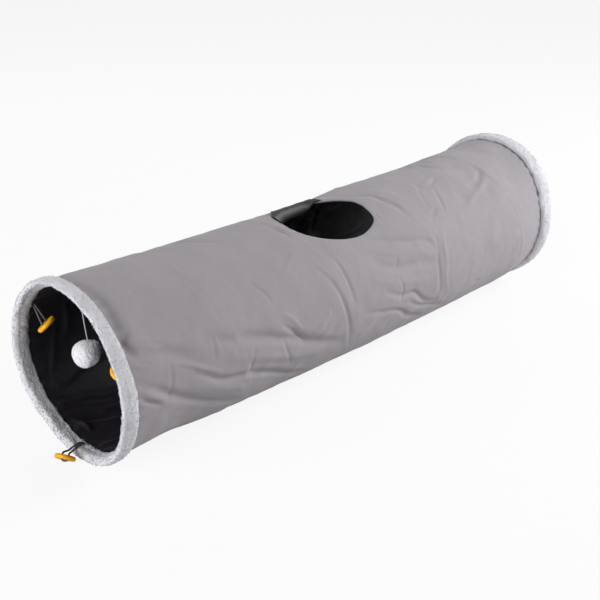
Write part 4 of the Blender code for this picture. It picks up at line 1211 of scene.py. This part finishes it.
def turned(name, profile, sides):
    """A closed form turned round Z from its profile of radius and height, first and last on the axis."""
    shape = bmesh.new()
    corners = [shape.verts.new((radius, 0, height)) for radius, height in profile]
    lines = [shape.edges.new(pair) for pair in zip(corners, corners[1:])]
    bmesh.ops.spin(shape, geom=corners + lines, cent=(0, 0, 0), axis=(0, 0, 1), angle=math.tau, steps=sides,
                   use_merge=True)
    bmesh.ops.remove_doubles(shape, verts=shape.verts, dist=1e-6)
    bmesh.ops.recalc_face_normals(shape, faces=shape.faces)
    mesh = bpy.data.meshes.new(name)
    shape.to_mesh(mesh)
    shape.free()
    made = bpy.data.objects.new(name, mesh)
    bpy.context.scene.collection.objects.link(made)
    return made


half = BUTTON_THICKNESS / 2
profile = [(0, half - DISH_DEPTH)]
profile += [(DISH_RADIUS * t, half - DISH_DEPTH * (1 - eased((t - 0.55) / 0.45)))
            for t in np.linspace(0.3, 1, 12)]
profile += [(BUTTON_RADIUS - half + half * math.cos(turn), half * math.sin(turn))
            for turn in np.radians(np.linspace(90, -90, 19))]
profile += [(0.004, -half), (0, -half)]
pattern = turned("button_pattern", profile, 72)
for side in (-1, 1):
    flare = [(0, half * 1.5), (HOLE_RADIUS + HOLE_FLARE, half * 1.5)]
    flare += [(HOLE_RADIUS + HOLE_FLARE * abs(t) ** 3, half * t * 1.02) for t in np.linspace(1, -1, 15)]
    flare += [(HOLE_RADIUS + HOLE_FLARE, -half * 1.5), (0, -half * 1.5)]
    drill = turned(f"drill_{side + 1}", flare, 32)
    drill.location.x = side * HOLE_SPACING / 2
    cut = pattern.modifiers.new("hole", "BOOLEAN")
    cut.object = drill
    cut.operation = "DIFFERENCE"
    cut.solver = "EXACT"
    bpy.context.view_layer.update()
    drilled = bpy.data.meshes.new_from_object(pattern.evaluated_get(bpy.context.evaluated_depsgraph_get()))
    pattern.modifiers.clear()
    pattern.data = drilled
    bpy.data.objects.remove(drill)
button_mesh = pattern.data
button_mesh.shade_smooth()
button_mesh.set_sharp_from_angle(angle=math.radians(50))
bpy.data.objects.remove(pattern)


def smooth_route(places, step):
    """Points at even steps along a smooth curve through places."""
    fine = curve_through(places, 16)
    run = np.concatenate([[0], np.cumsum(np.linalg.norm(np.diff(fine, axis=0), axis=1))])
    wanted = np.linspace(0, run[-1], round(run[-1] / step) + 1)
    return np.stack([np.interp(wanted, run, fine[:, axis]) for axis in range(3)], axis=-1)


for side, degrees, seat, centre, faces_way, holes_way, over_band, length, bow in TOGGLES:
    faces_way = np.array(faces_way) / np.linalg.norm(faces_way)
    holes_way = np.array(holes_way)
    holes_way = holes_way - faces_way * (holes_way @ faces_way)
    holes_way = holes_way / np.linalg.norm(holes_way)
    seat, centre = np.array(seat), np.array(centre)
    button = bpy.data.objects.new(f"toggle_{side}_button_cast", button_mesh.copy())
    bpy.context.scene.collection.objects.link(button)
    axes = Matrix((holes_way, np.cross(faces_way, holes_way), faces_way)).transposed().to_4x4()
    button.data.transform(Matrix.Translation(centre) @ axes)
    button.data.materials.append(yellow_plastic)
    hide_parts(f"toggle_{side}_button")
    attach(button, f"toggle_{side}")

    angle = math.radians(degrees)
    tangent = np.array((0, math.cos(angle), math.sin(angle)))
    tangent = tangent if tangent @ holes_way > 0 else -tangent
    hole = HOLE_SPACING / 2
    strands = []
    for way in (1, -1):
        strand = [seat + tangent * way * STRAND_SPACING / 2]
        for index, place in enumerate(over_band):
            share = ((index + 1) / (len(over_band) + 1)) ** 3
            aside = tangent * STRAND_SPACING / 2 * (1 - share) + holes_way * hole * share
            strand.append(np.array(place) + aside * way)
        strand += [centre + holes_way * hole * way - faces_way * depth for depth in (BUTTON_THICKNESS, half)]
        strands.append(strand)
    bend = [centre + faces_way * (half - DISH_DEPTH + hole * bow * math.sin(turn))
            + holes_way * hole * math.cos(turn) for turn in np.linspace(0, math.pi, 7)]
    route = smooth_route(strands[0] + bend + strands[1][::-1], ELASTIC_STEP)
    elastic = drawn_tube(
        f"toggle_{side}_elastic_braided", route, ELASTIC_DIAMETER / 2, 20,
        lambda along, around: (BRAID_HEIGHT * np.sin(4 * around + along * BRAID_TURNS)
                               * np.sin(4 * around - along * BRAID_TURNS)))
    elastic.data.materials.append(black_elastic)
    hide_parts(f"toggle_{side}_elastic")
    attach(elastic, f"toggle_{side}")


# The studio. A wide pale floor that goes off to white, three large soft lamps and a low even surrounding.
# The strongest lamp stands in front of the far mouth, a second lights the near mouth from in front of it,
# and a weak one lights the back.
FLOOR_REACH = 30
FLOOR_WHITE_SHARE = 0.9
WORLD_LEVEL = 0.13
LAMP_AIM = (0, 0, 0.1)
# Each lamp: its name, its place, how wide it is in metres, and its power in watts
LAMPS = (
    ("key", (1.8, -1.15, 1.25), 1.1, 60),
    ("mouth", (-2.3, 0.1, 0.8), 1.6, 43),
    ("behind", (0.4, 1.9, 1.6), 1.2, 12),
)

floor_mesh = bpy.data.meshes.new("floor")
floor_mesh.from_pydata([(-FLOOR_REACH, -FLOOR_REACH, 0), (FLOOR_REACH, -FLOOR_REACH, 0),
                        (FLOOR_REACH, FLOOR_REACH, 0), (-FLOOR_REACH, FLOOR_REACH, 0)], [], [(0, 1, 2, 3)])
floor = bpy.data.objects.new("floor", floor_mesh)
bpy.context.scene.collection.objects.link(floor)
paper = bpy.data.materials.new("paper")
paper.use_nodes = True
thread = Thread(paper.node_tree)
for node in list(paper.node_tree.nodes):
    paper.node_tree.nodes.remove(node)
seen = thread.spin("LightPath")
matt = thread.spin("BsdfDiffuse", {}, {"Color": (0.80, 0.80, 0.80, 1)})
bright = thread.spin("Emission", {}, {"Color": (1, 1, 1, 1), "Strength": 1.0})
mixed = thread.spin("MixShader", {}, {0: seen * FLOOR_WHITE_SHARE, 1: matt, 2: bright})
thread.spin("OutputMaterial", {}, {"Surface": mixed})
floor_mesh.materials.append(paper)

world = bpy.data.worlds.new("studio")
bpy.context.scene.world = world
world.use_nodes = True
thread = Thread(world.node_tree)
for node in list(world.node_tree.nodes):
    world.node_tree.nodes.remove(node)
plain = thread.spin("Background", {}, {"Color": (1, 1, 1, 1), "Strength": WORLD_LEVEL})
white = thread.spin("Background", {}, {"Color": (1, 1, 1, 1), "Strength": 1.0})
seen = thread.spin("LightPath")
mixed = thread.spin("MixShader", {}, {0: seen, 1: plain, 2: white})
thread.spin("OutputWorld", {}, {"Surface": mixed})

for name, place, size, watts in LAMPS:
    light = bpy.data.lights.new(name, "AREA")
    light.shape = "DISK"
    light.size = size
    light.energy = watts
    lamp = bpy.data.objects.new(name, light)
    lamp.location = place
    lamp.rotation_euler = (Vector(LAMP_AIM) - Vector(place)).to_track_quat("-Z", "Y").to_euler()
    bpy.context.scene.collection.objects.link(lamp)
